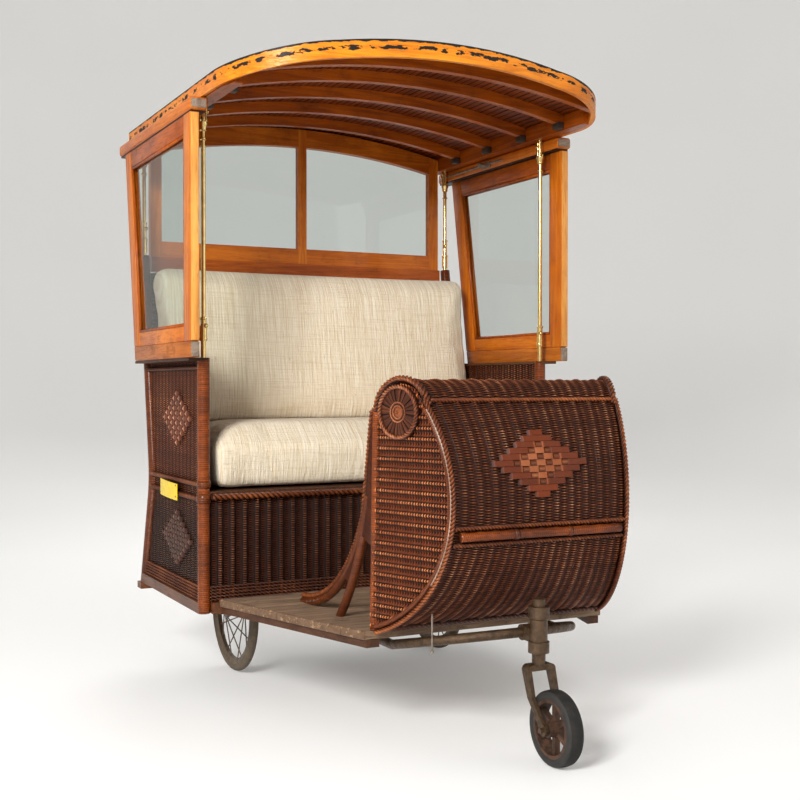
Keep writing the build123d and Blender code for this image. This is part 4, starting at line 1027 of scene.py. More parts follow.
def make_apron_weave():
    low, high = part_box("wicker_apron")
    last = WALL_HALF / STAKE_PITCH
    rows = [(z, -last, last) for z in np.arange(low.z + ROW_PITCH / 2, high.z, ROW_PITCH)]

    def place(stakes, z):
        return wall_points(stakes * STAKE_PITCH, POST_Y, z, (0.0, -1.0, 0.0), UP)

    woven_wall("apron_weave", DARK_WICKER, rows, place, "wicker_apron", ridge=0.0036)


def make_back_weave():
    low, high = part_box("wicker_back")
    heights = np.linspace(low.z, high.z, 60)
    wall = Surface(np.stack([rear_y(heights), heights], axis=1))
    last = WALL_HALF / BACK_STAKE_PITCH
    rows = [(reach, -last, last) for reach in np.arange(BACK_ROW_PITCH / 2, wall.length, BACK_ROW_PITCH)]

    def place(stakes, reach):
        y, z, hy, hz = wall.at(reach)
        return wall_points(stakes * BACK_STAKE_PITCH, y, z, (0.0, hz, -hy), (0.0, hy, hz))

    woven_wall("back_weave", WICKER, rows, place, "wicker_back", ridge=0.0012, strand=BACK_ROW_PITCH / 2)


def make_dash_weave():
    reaches = np.arange(ROW_PITCH / 2, dash_face.length, ROW_PITCH)
    rows = [(reach, -DASH_STAKES, DASH_STAKES) for reach in reaches]

    def place(stakes, reach):
        y, z, hy, hz = dash_face.at(reach)
        half = dash_half(y) - DASH_INSET
        return wall_points(stakes / DASH_STAKES * half, y, z, (0.0, -hz, hy), (0.0, hy, hz))

    woven_wall("dash_weave", WICKER, rows, place, "dash_shell", ridge=0.0012, overlap=-0.5)


def make_dash_side_weave(side, name):
    outline = dash_outline(DASH_WALL)
    front = outline[np.argmin(outline[:, 0])]
    lower = outline[outline[:, 1] <= front[1]]
    upper = outline[outline[:, 1] >= front[1]]
    crest = upper[np.argmax(upper[:, 1])]
    falling = upper[upper[:, 0] <= crest[0]]
    falling = falling[np.argsort(falling[:, 0])]
    outward, forward = dash_side_ways(side)
    lean = (DASH_ROLL_REACH - DASH_ROLL_RADIUS) / DASH_ROLL_HEIGHT
    rows = []
    for reach in np.arange(SIDE_ROW_PITCH / 2, DASH_REAR_Y - front[0], SIDE_ROW_PITCH):
        y = DASH_REAR_Y - reach
        low_z = np.interp(-y, -lower[:, 0], lower[:, 1]) if reach > DASH_TOE else FLOOR_Z
        if y > crest[0]:
            high_z = FLOOR_Z + min(DASH_ROLL_HEIGHT, reach / lean)
        else:
            high_z = np.interp(y, falling[:, 0], falling[:, 1])
        if high_z - low_z > SHORTEST_ROW:
            rows.append((y, low_z / SIDE_STAKE_PITCH, high_z / SIDE_STAKE_PITCH))

    def place(stakes, y):
        x = side * (dash_half(y) - DASH_SIDE_INSET)
        return wall_points(x, y, stakes * SIDE_STAKE_PITCH, outward, forward)

    # The dash sides take the lit copy of the wicker: painted light.
    woven_wall(f"dash_side_weave_{name}", LIT_WICKER, rows, place, f"dash_side_{name}", ridge=0.0044,
               strand=SIDE_ROW_PITCH / 2, bulge=0.0014, overlap=-0.5, uneven=0.0003)


for side, name in SIDES:
    make_side_weave(side, name)
    make_dash_side_weave(side, name)
make_apron_weave()
make_back_weave()
make_dash_weave()


# Wrapped posts and bars

def post_runs(*spans):
    """Upright runs along both front posts between given heights."""
    return [[(side * POST_X, POST_Y, low), (side * POST_X, POST_Y, high)]
            for side, _ in SIDES for low, high in spans]


def make_poles():
    bound_pole("front_post_wrap", post_runs((FOOT_Z, ARM_Z)), POST_RADIUS, "front_posts", 20)
    # The rear posts take the darker copy of the wrapped cane: painted shade.
    bound_pole("rear_post_wrap", mirrored(POST_X, rear_curve), POST_RADIUS, "rear_posts", 20, DARK_WRAPPED)
    leaning = mirrored(STAY_X, np.array([(DASH_REAR_Y, FLOOR_Z), DASH_LIP]))
    bound_pole("dash_post_wrap", leaning, POLE_RADIUS, "dash_posts")
    y = BAR_LOW.y + 0.012
    bound_pole("dash_bar_wrap", [[(BAR_LOW.x, y, BAR_Z), (BAR_HIGH.x, y, BAR_Z)]], POLE_RADIUS, "dash_bar")
    bands = [[(x - 0.006, y, BAR_Z), (x + 0.006, y, BAR_Z)] for x in (BAR_LOW.x / 3, BAR_HIGH.x / 3)]
    bound_pole("dash_bar_bands", bands, BAND_RADIUS, material=DARK_WRAPPED)
    knots = post_runs((SEAT_Z - 0.030, SEAT_Z - 0.004), (SEAT_Z + 0.012, SEAT_Z + 0.030))
    bound_pole("post_lashings", knots, POST_RADIUS + 0.0028, sides=20, material=DARK_WRAPPED)


make_poles()


# Braids

def rope(name, runs, material=BRAID, count=3):
    """Twisted strands along runs of (path, outward, braid)."""
    paths = []
    for path, outward, braid in runs:
        paths += braid_paths(path, outward, braid, count)
    piece = strands(name, material, paths, 6)
    return piece


def side_run(side, x, z, start, end, braid):
    """A level run along one side of the seat box."""
    return [(side * x, start, z), (side * x, end, z)], (float(side), 0.0, 0.0), braid


def front_run(half, y, z, braid):
    """A level run across the front of the seat box."""
    return [(-half, y, z), (half, y, z)], (0.0, -1.0, 0.0), braid


def dash_run(reach, half, lift, braid):
    """A level run across the dash's front at a reach along its outline."""
    y, z, hy, hz = dash_skin.at(reach)
    xs = np.linspace(-half, half, 12)
    path = np.stack([xs, np.full(12, y - hz * lift), np.full(12, z + hy * lift)], axis=1)
    return path, (0.0, -hz, hy), braid


def dash_edge(side, start, end, lift, inset=0.0):
    """A run along one front edge of the dash, between two reaches, and its outward directions."""
    points, ways = [], []
    for reach in np.linspace(start, end, 60):
        y, z, hy, hz = dash_skin.at(reach)
        points.append((side * (dash_half(y) - inset), y - hz * lift, z + hy * lift))
        ways.append((side * 0.5, -hz, hy))
    return np.array(points), np.array(ways)


def edge_run(side, start, end, lift, inset, braid):
    """A braid's run along one front edge of the dash."""
    path, ways = dash_edge(side, start, end, lift, inset)
    outward, _ = evenly(path, braid[1] / BRAID_STEPS, ways)
    return path, unit(outward), braid


def make_seat_ropes():
    rope("apron_braid", [front_run(POST_X - 0.02, POST_Y - 0.015, SEAT_Z - 0.013, APRON_BRAID)])
    runs = []
    top = ARM_Z - 0.026
    for side, _ in SIDES:
        for z in (SEAT_Z - 0.020, SEAT_Z + 0.020):
            runs.append(side_run(side, SIDE_FACE_X + 0.003, z, POST_Y + 0.004, rear_y(z), SIDE_BRAID))
        runs.append(side_run(side, SIDE_FACE_X + 0.001, top, POST_Y + 0.01, rear_y(top), TOP_BRAID))
    rope("side_braids", runs, BORDER)
    runs = []
    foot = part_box("wicker_apron")[0].z + 0.005
    for row in range(5):
        z = foot + row * BORDER_PITCH
        for side, _ in SIDES:
            end = rear_y(z) - 0.01
            runs.append(side_run(side, SIDE_FACE_X - 0.001, z, POST_Y + 0.015, end, BORDER_BRAID))
        runs.append(front_run(POST_X - 0.016, POST_Y - 0.006, z, BORDER_BRAID))
    rope("bottom_border", runs, BORDER, 2)


def make_dash_ropes():
    runs = []
    for side, _ in SIDES:
        runs.append(edge_run(side, 0.0, DASH_ROLL_START, 0.001, 0.0, EDGE_BRAID))
        runs.append(edge_run(side, DASH_ROLL_START - 0.012, dash_skin.length, 0.0, 0.008, ROLL_BRAID))
    half = dash_half(DASH_REAR_Y - DASH_DEPTH)
    runs.append(dash_run(DASH_ROLL_START, half + 0.014, 0.001, CREASE_BRAID))
    for step in (-0.020, 0.020):
        runs.append(dash_run(BAR_REACH + step, half - DASH_SIDE_INSET, 0.001, BAR_BRAID))
    rope("dash_braids", runs)
    runs = []
    for row in range(4):
        reach = 0.008 + row * DASH_BORDER_PITCH
        half = dash_half(dash_skin.at(reach)[0]) - DASH_SIDE_INSET
        runs.append(dash_run(reach, half, 0.0, BORDER_BRAID))
    rope("dash_border", runs, BORDER, 2)


make_seat_ropes()
make_dash_ropes()


# Poles and scuffed line along the dash's front edges

def make_dash_edges():
    poles, paths = [], []
    for side, _ in SIDES:
        outward, _ = dash_side_ways(side)
        pole, _ = dash_edge(side, 0.0, DASH_ROLL_START - 0.01, -0.012)
        poles.append(pole + outward * 0.003)
        scuff, _ = dash_edge(side, dash_skin.length * 0.25, DASH_ROLL_START - 0.02, -0.0045)
        points, _ = evenly(scuff + outward * 0.0045, 0.01)
        _, left, up = carried_frames(points)
        paths.append((points, left * SCUFF_RADIUS, up * SCUFF_RADIUS, np.ones((len(points), 6)), 1.0))
    bound_pole("dash_edge_poles", poles, EDGE_POLE_RADIUS, sides=10, material=DARK_WRAPPED)
    piece = strands("dash_scuff_lines", SCUFF, paths, 6)


make_dash_edges()


# Stays behind the dash

def stay_curves():
    """Middles of the rear and front stays in (Y, Z), from the floor up."""
    join = (DASH_REAR_Y + 0.026, FLOOR_Z + STAY_RISE)
    curves = []
    for foot_y, bow, share in ((POST_Y - 0.150, 0.045, 0.28), (POST_Y - 0.392, 0.018, 0.45)):
        knee = ((foot_y + join[0]) / 2 - bow, FLOOR_Z + STAY_RISE * share)
        centre, radius = circle_through((foot_y, FLOOR_Z), knee, join)
        a0 = atan2(FLOOR_Z - centre[1], foot_y - centre[0])
        turn = (atan2(join[1] - centre[1], join[0] - centre[0]) - a0 + pi) % (2 * pi) - pi
        curves.append(arc(centre, radius, a0, a0 + turn, 24))
    return curves


def make_stay_webs(rear, front):
    """Short strands wound between the stays, and above them from the rear stay to the dash post."""
    lip_y, lip_z = DASH_LIP
    back_line = np.concatenate([rear, [(lip_y + 0.010, lip_z)]])
    paths = []
    for z in np.arange(FLOOR_Z + 0.105, lip_z - 0.010, WEB_PITCH):
        back_y = np.interp(z, back_line[:, 1], back_line[:, 0])
        front_y = np.interp(z, front[:, 1], front[:, 0])
        post_y = DASH_REAR_Y - (DASH_REAR_Y - lip_y) * (z - FLOOR_Z) / DASH_ROLL_HEIGHT
        end_y = post_y if z > FLOOR_Z + 0.215 else front_y
        fall = 0.35 * (back_y - end_y)
        for side, _ in SIDES:
            run = np.array([(side * (STAY_X + 0.006), back_y + 0.004, z + fall * 0.5),
                            (side * (STAY_X + 0.008), (back_y + end_y) / 2, z),
                            (side * (STAY_X + 0.006), end_y, z - fall * 0.5)])
            across = np.tile((side * 0.0030, 0.0, 0.0), (3, 1))
            upward = np.tile((0.0, 0.0, 0.0021), (3, 1))
            # Painted light: lighter on the strands' outer and inner faces, painted shade on their upper and
            # lower edges.
            relief = np.tile((0.75, 0.1, 0.6, 0.1), (3, 1))
            paths.append((run, across, upward, relief, rng.random()))
    piece = strands("stay_webs", BRAID, paths)


def make_stay_braids(rear):
    """A braid up each rear stay, on to the dash's lip and over its roll."""
    slope = np.gradient(rear, axis=0)
    normal = unit(np.stack([slope[:, 1], -slope[:, 0]], axis=1))
    upper = (rear + normal * 0.0165)[:-2]
    roll = (DASH_REAR_Y - DASH_ROLL_REACH, FLOOR_Z + DASH_ROLL_HEIGHT)
    crown = arc(roll, DASH_ROLL_RADIUS + 0.0005, 0.0, radians(150), 30)
    line = np.concatenate([upper, [(DASH_LIP[0] + 0.012, DASH_LIP[1])], crown[1:]])
    half = np.array([dash_half(min(y, DASH_REAR_Y)) - DASH_INSET for y in line[:, 0]])
    half[:len(upper)] = STAY_X
    runs = []
    for side, _ in SIDES:
        path = np.stack([side * half, line[:, 0], line[:, 1]], axis=1)
        runs.append((path, (float(side), 0.0, 0.0), STAY_BRAID))
    rope("stay_braids", runs)


def make_stays():
    rear, front = stay_curves()
    bends = mirrored(STAY_X, rear) + mirrored(STAY_X, front)
    bound_pole("dash_stay_wrap", bends, STAY_RADIUS, "dash_braces", material=DARK_WRAPPED)
    make_stay_webs(rear, front)
    make_stay_braids(rear)


make_stays()


# Rosettes at the ends of the roll
SPOKE_REACHES = np.array([0.016, 0.030, 0.045, ROSETTE_RIM - 0.002])
SPOKE_LIFTS = np.array([0.0040, 0.0052, 0.0050, 0.0036])
ROSETTE_DISC = ((0.001, 0.0), (0.064, 0.0), (0.064, 0.0025), (0.001, 0.0030))
ROSETTE_BOSS = ((0.0125, 0.002), (0.0125, 0.0055), (0.0085, 0.0075), (0.0045, 0.0085), (0.0040, 0.0125),
                (0.0025, 0.0145), (0.0005, 0.0150))
ROSETTE_RINGS = ((ROSETTE_RIM, (0.0034, 0.026)), (0.023, (0.0016, 0.013)), (0.015, (0.0016, 0.012)))


def make_rosette(side, name):
    outward, forward = dash_side_ways(side)
    up = np.array(UP)
    y = DASH_REAR_Y - DASH_ROLL_REACH
    centre = np.array([side * dash_half(y), y, FLOOR_Z + DASH_ROLL_HEIGHT])
    paths = []
    for spoke in range(ROSETTE_SPOKES):
        turn = 2 * pi * (spoke + 0.15 * rng.standard_normal()) / ROSETTE_SPOKES
        ray = forward * cos(turn) + up * sin(turn)
        beside = forward * -sin(turn) + up * cos(turn)
        centres = centre + ray * SPOKE_REACHES[:, None] + outward * SPOKE_LIFTS[:, None]
        widths = beside * (SPOKE_REACHES * 0.098)[:, None]
        # Painted light and shade on the spokes, lighter on their outward side and darker behind.
        relief = np.tile((0.85, 0.45, 0.3, 0.45), (4, 1))
        paths.append((centres, np.tile(outward * 0.0013, (4, 1)), widths, relief, rng.random()))
    spokes = strands(f"rosette_spokes_{name}", BORDER, paths, boxed=True)
    turns = np.linspace(0, 2 * pi, 64)[:, None]
    circle = forward * np.cos(turns) + up * np.sin(turns)
    runs = [(centre + outward * 0.006 + circle * radius, outward, braid) for radius, braid in ROSETTE_RINGS]
    rings = rope(f"rosette_rings_{name}", runs, DARK_WICKER)
    disc = turned(ROSETTE_DISC, (0, 0, 0), sides=40)
    boss = turned(ROSETTE_BOSS, (0, 0, 0), sides=20)
    basis = Matrix((forward, np.cross(outward, forward), outward)).transposed().to_4x4()
    basis.translation = Vector(centre)
    for piece in (disc, boss):
        piece.matrix_world = basis
        settle(piece)
    # The disc behind the spokes is dark fill: painted shade.
    dressed(disc, f"rosette_disc_{name}", SHADE_FILL)
    dressed(boss, f"rosette_boss_{name}", KNOB)
    stands_in([disc, boss, spokes, rings], "dash_rosettes")


for side, name in SIDES:
    make_rosette(side, name)


# Lozenges of flat reed

def make_lozenge(name, place, column, row_pitch, proud, checker, over, stake_half, materials):
    """Eleven flat reeds that widen to the middle, passing under stakes in a checker there.

    Place gives points, outward and rising directions for columns along a row at a height from the
    middle, and materials are those of the reeds and the stakes."""
    reeds, stitches = [], []
    for row in range(-LOZENGE_ROWS, LOZENGE_ROWS + 1):
        reach = LOZENGE_ROWS + 1 - abs(row)
        ks = np.arange(-reach * 4, reach * 4 + 1) / 4
        cell = np.round(ks)
        inner = np.abs(cell) + abs(row) <= checker
        under = inner & ((cell + row) % 2 == 1) & (np.abs(ks - cell) < 0.4)
        points, outward, rising = place(ks * column, row * row_pitch)
        lift = np.where(under, REED_UNDER, REED_OVER)
        lift[0] = lift[-1] = REED_END
        # Reliefs for the cane's painted light: painted shade where a reed passes under a stake and at its
        # tucked ends, the given relief in the checker.
        shade = np.where(under, 0.1, np.where(inner, over, 0.50))
        shade[0] = shade[-1] = 0.1
        relief = np.repeat(shade[:, None], 4, axis=1)
        reeds.append((points + outward * (proud + lift)[:, None], outward * REED_HALF,
                      rising * row_pitch * 0.475, relief, rng.random()))
        for k in range(-reach, reach + 1):
            if abs(k) + abs(row) > checker or (k + row) % 2 == 0:
                continue
            spot, out, rise = place(np.array([k * column] * 3), row * row_pitch)
            steps = np.array([-0.60, 0.0, 0.60])[:, None] * row_pitch
            bow = np.array([-0.0020, 0.0018, -0.0020])[:, None]
            # Painted highlight down the middle of each stitch.
            relief = np.repeat(np.array([0.45, 0.9, 0.45])[:, None], 4, axis=1)
            stitches.append((spot + rise * steps + out * (proud + bow), out * REED_HALF,
                             np.cross(rise, out) * stake_half, relief, rng.random()))
    for part, material, paths in zip(("reeds", "stakes"), materials, (reeds, stitches)):
        piece = strands(f"{name}_{part}", material, paths, boxed=True)


def make_lozenges():
    middle = (DASH_ROLL_START + BAR_REACH) / 2

    def on_dash(across, rise):
        y, z, hy, hz = dash_skin.at(middle + rise)
        return wall_points(across, y, z, (0.0, -hz, hy), (0.0, hy, hz))

    make_lozenge("dash_lozenge", on_dash, column=0.0220, row_pitch=0.0146, proud=0.0022, checker=3,
                 over=0.85, stake_half=0.0075, materials=(REED, DARK_WICKER))
    for side, name in SIDES:
        for level, height in LOZENGE_LEVELS:

            def on_side(along, rise, side=side, middle_z=SEAT_Z + height):
                return wall_points(side * SIDE_FACE_X, POST_Y + LOZENGE_Y + along, middle_z + rise,
                                   (float(side), 0.0, 0.0), UP)

            make_lozenge(f"side_lozenge_{level}_{name}", on_side, column=0.0245, row_pitch=0.0143,
                         proud=0.0016, checker=6, over=0.42, stake_half=0.0034,
                         materials=(SIDE_REED, PALE_STAKE))


make_lozenges()


# Windows, boards and rails of the canopy

def leaned(low, high, lean):
    """A block whose top is pushed back, as the rear stiles are."""
    piece = block(low, high)
    middle = (low[2] + high[2]) / 2
    shift_points(piece, lambda point: point.z > middle, (0, lean, 0))
    return piece


def mitred(low, high, lean):
    """A level block whose rear end leans back from its bottom edge to its top one."""
    piece = block(low, high)
    y, z = ((low[k] + high[k]) / 2 for k in (1, 2))
    shift_points(piece, lambda point: point.y > y and point.z > z, (0, lean, 0))
    return piece


def end_face(low, high, name, material):
    """A thin block at the front end of a member, a little proud of it."""
    piece = block((low[0], low[1] - END_PROUD, low[2]), high)
    soften(piece, 0.0015)
    return dressed(piece, name, material)


def bead_runs(corners, x):
    """Bars along the inside of a window's opening, at an X."""
    inset = corners + np.sign(corners.mean(axis=0) - corners) * GLASS_BEAD * 0.45
    runs = []
    for start, end in zip(inset, np.roll(inset, -1, axis=0)):
        run = np.array([(x, start[0], start[1]), (x, end[0], end[1])])
        cross = np.cross(unit(run[1] - run[0]), (1.0, 0.0, 0.0))
        runs.append((run, np.tile((GLASS_BEAD * 0.5, 0.0, 0.0), (2, 1)),
                     np.tile(cross * GLASS_BEAD * 0.55, (2, 1)), np.ones((2, 8)), 0.5))
    return runs


def make_side_window(name):
    node = f"side_window_{name}"
    low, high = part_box(node)
    rear_low = POST_Y + 0.520
    lean = high.y - rear_low
    slope = lean / (high.z - low.z)
    inner_y, foot_z, head_z = low.y + WINDOW_STILE, low.z + WINDOW_FOOT, high.z - WINDOW_HEAD
    rear_high = rear_low - WINDOW_STILE + slope * (head_z - low.z)
    left, right = low.x + 0.001, high.x - 0.001
    front = block(low, (high.x, inner_y, high.z))
    rear = leaned((low.x, rear_low - WINDOW_STILE, low.z), (high.x, rear_low, high.z), lean)
    foot = mitred((left, inner_y, low.z), (right, rear_low - WINDOW_STILE, foot_z), slope * WINDOW_FOOT)
    head = mitred((left, inner_y, head_z), (right, rear_high, high.z), slope * WINDOW_HEAD)
    members = ((front, "front_stile", OAK["Z"]), (rear, "rear_stile", OAK["Z"]), (foot, "foot", OAK["Y"]),
               (head, "head", DEEP_OAK["Y"]))
    for piece, part, material in members:
        soften(piece, 0.0025)
        dressed(piece, f"window_{part}_{name}", material)
    edge = block((low.x + 0.002, low.y - 0.0012, low.z + 0.002),
                 (high.x - 0.002, low.y + 0.004, high.z - 0.002))
    soften(edge, 0.0012)
    dressed(edge, f"window_pale_edge_{name}", PALE_OAK)
    rear_foot = rear_low - WINDOW_STILE + slope * WINDOW_FOOT
    corners = np.array([(inner_y, foot_z), (rear_foot, foot_z), (rear_high, head_z), (inner_y, head_z)])
    middle = (low.x + high.x) / 2
    beads = bead_runs(corners, middle - 0.0075) + bead_runs(corners, middle + 0.0075)
    bead = strands(f"window_beads_{name}", DEEP_OAK["Z"], beads, 8)
    stands_in([front, rear, foot, head, edge, bead], node)


def make_plates(side, name):
    low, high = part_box("roof_plates")
    inner, outer = sorted((side * PLATE_INNER_X, side * high.x))
    nose = block((inner, low.y, low.z + 0.004), (outer, high.y, high.z))
    soften(nose, 0.009, 4)
    dressed(nose, f"plate_nose_{name}", OAK["Y"])
    # A dark strip in the reveal under the nose: painted shade.
    reveal = block((inner + 0.006, low.y + 0.010, low.z), (outer - 0.006, high.y - 0.004, low.z + 0.006))
    soften(reveal, 0.001)
    dressed(reveal, f"plate_reveal_{name}", SHADE_FILL)
    end = end_face((inner + 0.004, low.y, low.z + 0.009), (outer - 0.006, low.y + 0.004, high.z - 0.006),
                   f"plate_end_grain_{name}", GREY_WOOD)
    stands_in([nose, reveal, end], "roof_plates")


def make_base_board(side, name):
    low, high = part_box("base_boards")
    inner, outer = sorted((side * (high.x - BASE_BOARD_WIDTH), side * high.x))
    board = leaned((inner, low.y, low.z), (outer, POST_Y + 0.512, high.z), 0.008)
    soften(board, 0.003)
    dressed(board, f"base_board_{name}", DULL_OAK["Y"])
    end = end_face((inner + 0.002, low.y, low.z + 0.002), (outer - 0.002, low.y + 0.004, high.z - 0.002),
                   f"base_board_end_{name}", GREY_WOOD)
    stands_in([board, end], "base_boards")


for side, name in SIDES:
    make_side_window(name)
    make_plates(side, name)
    make_base_board(side, name)


# Yellow plate on the left side, blank
PLATE_STUD = ((0.0038, 0.0), (0.0036, 0.0012), (0.0022, 0.0022), (0.0004, 0.0026))


def make_side_plate():
    x = -POST_X - 0.0175
    start = POST_Y + PLATE_START
    plate = block((x - 0.0016, start, SEAT_Z - 0.036), (x, start + PLATE_LENGTH, SEAT_Z + 0.012))
    hold(plate)
    bpy.ops.object.mode_set(mode="EDIT")
    bpy.ops.mesh.select_all(action="SELECT")
    bpy.ops.mesh.subdivide(number_cuts=9)
    bpy.ops.object.mode_set(mode="OBJECT")
    for vertex in plate.data.vertices:
        share = (vertex.co.y - start) / PLATE_LENGTH
        vertex.co.x -= 0.004 * sin(pi * share) + 0.002
        vertex.co.z += 0.006 * (share - 0.5)
    soften(plate, 0.0006)
    dressed(plate, "side_plate", PLATE_YELLOW)
    studs = [stud(PLATE_STUD, (x - 0.0042, POST_Y + y, SEAT_Z + z), -1)
             for y in (0.196, 0.350) for z in (-0.028, 0.004)]
    dressed(merged(studs), "side_plate_studs", BRASS)


make_side_plate()


# Fittings of the canopy rods, as (radius, height from the rod's top or foot)
ROD_CHEEK = ((0.0042, -0.052), (0.0048, -0.040), (0.0040, -0.026), (0.0052, -0.014), (0.0058, -0.006),
             (0.0030, 0.0))
ROD_SOCKET = ((0.006, -0.076), (0.0098, -0.072), (0.0102, -0.062), (0.0128, -0.056), (0.0128, -0.050),
              (0.006, -0.048))
ROD_RING = ((0.0072, -0.100), (0.0092, -0.098), (0.0092, -0.094), (0.0072, -0.092))
ROD_PIN = ((0.0030, -0.016), (0.0052, -0.015), (0.0052, -0.012), (0.0026, -0.012), (0.0026, 0.012),
           (0.0052, 0.012), (0.0052, 0.015), (0.0030, 0.016))
ROD_BALL = ((0.0004, -0.0068), (0.0040, -0.0052), (0.0060, -0.0022), (0.0064, 0.0), (0.0060, 0.0022),
            (0.0040, 0.0052), (0.0004, 0.0068))
ROD_COLLAR = ((0.0075, 0.046), (0.0108, 0.048), (0.0112, 0.052), (0.0108, 0.056), (0.0082, 0.058),
              (0.0082, 0.104), (0.0100, 0.106), (0.0100, 0.110), (0.0066, 0.112))


def make_rod_fittings():
    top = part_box("canopy_rods")[1].z
    forks, pins, collars = [], [], []
    for side, _ in SIDES:
        x = side * POST_X
        for y, foot in ((POST_Y, ARM_Z), (REAR_TOP_Y, REAR_TOP_Z)):
            for lean in (-0.0085, 0.0085):
                forks.append(turned(ROD_CHEEK, (x + lean, y, 0), sides=12, base=top))
            forks.append(turned(ROD_SOCKET, (x, y, 0), sides=18, base=top))
            forks.append(turned(ROD_RING, (x, y, 0), sides=18, base=top))
            pins.append(turned(ROD_PIN, (x, y, top - 0.020), "X", 12))
            collars.append(turned(ROD_BALL, (x - side * 0.004, y - 0.011, foot + 0.088), sides=14))
            collars.append(turned(ROD_COLLAR, (x, y, 0), sides=18, base=foot))
    for pieces, name in ((forks, "rod_forks"), (pins, "rod_pins"), (collars, "rod_collars")):
        piece = dressed(merged(pieces), name, BRASS)


make_rod_fittings()


# Foot boards with worn edges

def make_floor():
    low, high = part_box("floor_boards")
    pitch = (high.y - low.y) / PLANKS
    taper = (FLOOR_REAR_HALF - FLOOR_FRONT_HALF) / (high.y - low.y)
    boards = []
    for plank in range(PLANKS):
        y0 = low.y + pitch * plank + PLANK_GAP
        y1 = low.y + pitch * (plank + 1) - PLANK_GAP
        half = FLOOR_FRONT_HALF + taper * (y0 - low.y)
        board = block((-half, y0, low.z), (half, y1, high.z))
        for side, _ in SIDES:
            shift_points(board, lambda point: point.x * side > 0 and point.y > (y0 + y1) / 2,
                         (side * taper * (y1 - y0), 0, 0))
        soften(board, 0.0028)
        boards.append(board)
    piece = merged(boards)
    hold(piece)
    bpy.ops.object.mode_set(mode="EDIT")
    for side, _ in SIDES:
        for inset in (0.004, 0.007):
            bpy.ops.mesh.select_all(action="SELECT")
            bpy.ops.mesh.bisect(plane_co=(side * (FLOOR_FRONT_HALF - inset), low.y, 0),
                                plane_no=(1, -side * taper, 0))
    bpy.ops.object.mode_set(mode="OBJECT")
    values = []
    for vertex in piece.data.vertices:
        half = FLOOR_FRONT_HALF + taper * (vertex.co.y - low.y)
        values.append(1.0 if abs(vertex.co.x) > half - 0.0055 else 0.0)
    layer = piece.data.attributes.new("edge", "FLOAT", "POINT")
    layer.data.foreach_set("value", values)
    dressed(piece, "foot_boards", FLOOR_WOOD)
    stands_in([piece], "floor_boards")


make_floor()


# Cushions

def mesh_points(mesh):
    """The places of a mesh's points as rows."""
    points = np.empty(len(mesh.vertices) * 3)
    mesh.vertices.foreach_get("co", points)
    return points.reshape(-1, 3)


def put_points(mesh, points):
    """Move a mesh's points to the places in an array."""
    mesh.vertices.foreach_set("co", points.ravel())
    mesh.update()


def swollen_steps(piece):
    """How far each point moves when the piece is blown up as cloth."""
    cloth = piece.modifiers.new("stuffing", "CLOTH")
    settings = cloth.settings
    settings.use_pressure = True
    settings.uniform_pressure_force = 4.0
    settings.tension_stiffness = 12.0
    settings.compression_stiffness = 12.0
    settings.shear_stiffness = 6.0
    settings.bending_stiffness = 1.0
    settings.effector_weights.gravity = 0.0
    cloth.point_cache.frame_end = PAD_FRAMES
    for number in range(1, PAD_FRAMES + 1):
        bpy.context.scene.frame_set(number)
    swollen = piece.evaluated_get(bpy.context.evaluated_depsgraph_get())
    moved = mesh_points(swollen.data)
    piece.modifiers.remove(cloth)
    bpy.context.scene.frame_set(1)
    return moved - mesh_points(piece.data)


def make_cushion(name, node, draw_in, cap, pull, backing, widen):
    """A stuffed cushion blown up from a smaller copy of its solid, held where it rests on its backing."""
    low, high = (np.array(corner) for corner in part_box(node))
    piece = bpy.data.objects.new(name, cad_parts[node].data.copy())
    bpy.context.collection.objects.link(piece)
    hold(piece)
    bpy.ops.object.mode_set(mode="EDIT")
    bpy.ops.mesh.select_all(action="SELECT")
    bpy.ops.mesh.remove_doubles(threshold=0.00005)
    bpy.ops.object.mode_set(mode="OBJECT")
    applied(piece, "REMESH", mode="VOXEL", voxel_size=PAD_VOXEL)
    middle = (low + high) / 2
    points = middle + (mesh_points(piece.data) - middle) * (1 - 2 * draw_in / (high - low))
    points = pull(points, low, high)
    put_points(piece.data, points)
    step = swollen_steps(piece)
    length = np.linalg.norm(step, axis=1, keepdims=True)
    step *= np.minimum(1.0, cap / np.maximum(length, 1e-9))
    step -= np.outer(np.maximum(step @ backing - CUSHION_SINK, 0.0), backing)
    put_points(piece.data, np.clip(points + step, low + 0.001, high - 0.001))
    applied(piece, "SMOOTH", factor=0.5, iterations=6)
    applied(piece, "SUBSURF", levels=1, render_levels=1)
    bpy.ops.object.shade_smooth()
    for vertex in piece.data.vertices:
        vertex.co.x *= widen
    dressed(piece, name, LINEN)
    stands_in([piece], node)


def seat_pull(points, low, high):
    """Draw the seat cushion's ends and front in towards the bottom."""
    drop = np.clip((high[2] - 0.03 - points[:, 2]) / (high[2] - low[2]), 0, 1)
    points[:, 0] *= 1 - 0.030 * drop**1.5
    outer = np.clip((np.abs(points[:, 0]) - 0.36) / 0.18, 0, 1)
    upper = np.clip((points[:, 2] - low[2]) / (high[2] - low[2]), 0, 1)
    points[:, 2] -= 0.020 * outer**2 * upper
    front = np.clip((low[1] + 0.12 - points[:, 1]) / 0.12, 0, 1)
    points[:, 1] += 0.022 * front * drop**2
    return points


def back_pull(points, low, high):
    """Round the back cushion's top corners and lower its foot."""
    rise = np.clip((points[:, 2] - (high[2] - 0.10)) / 0.10, 0, 1)
    points[:, 0] *= 1 - 0.022 * rise**2
    fall = np.clip((low[2] + 0.20 - points[:, 2]) / 0.20, 0, 1)
    points[:, 2] -= 0.022 * fall
    return points


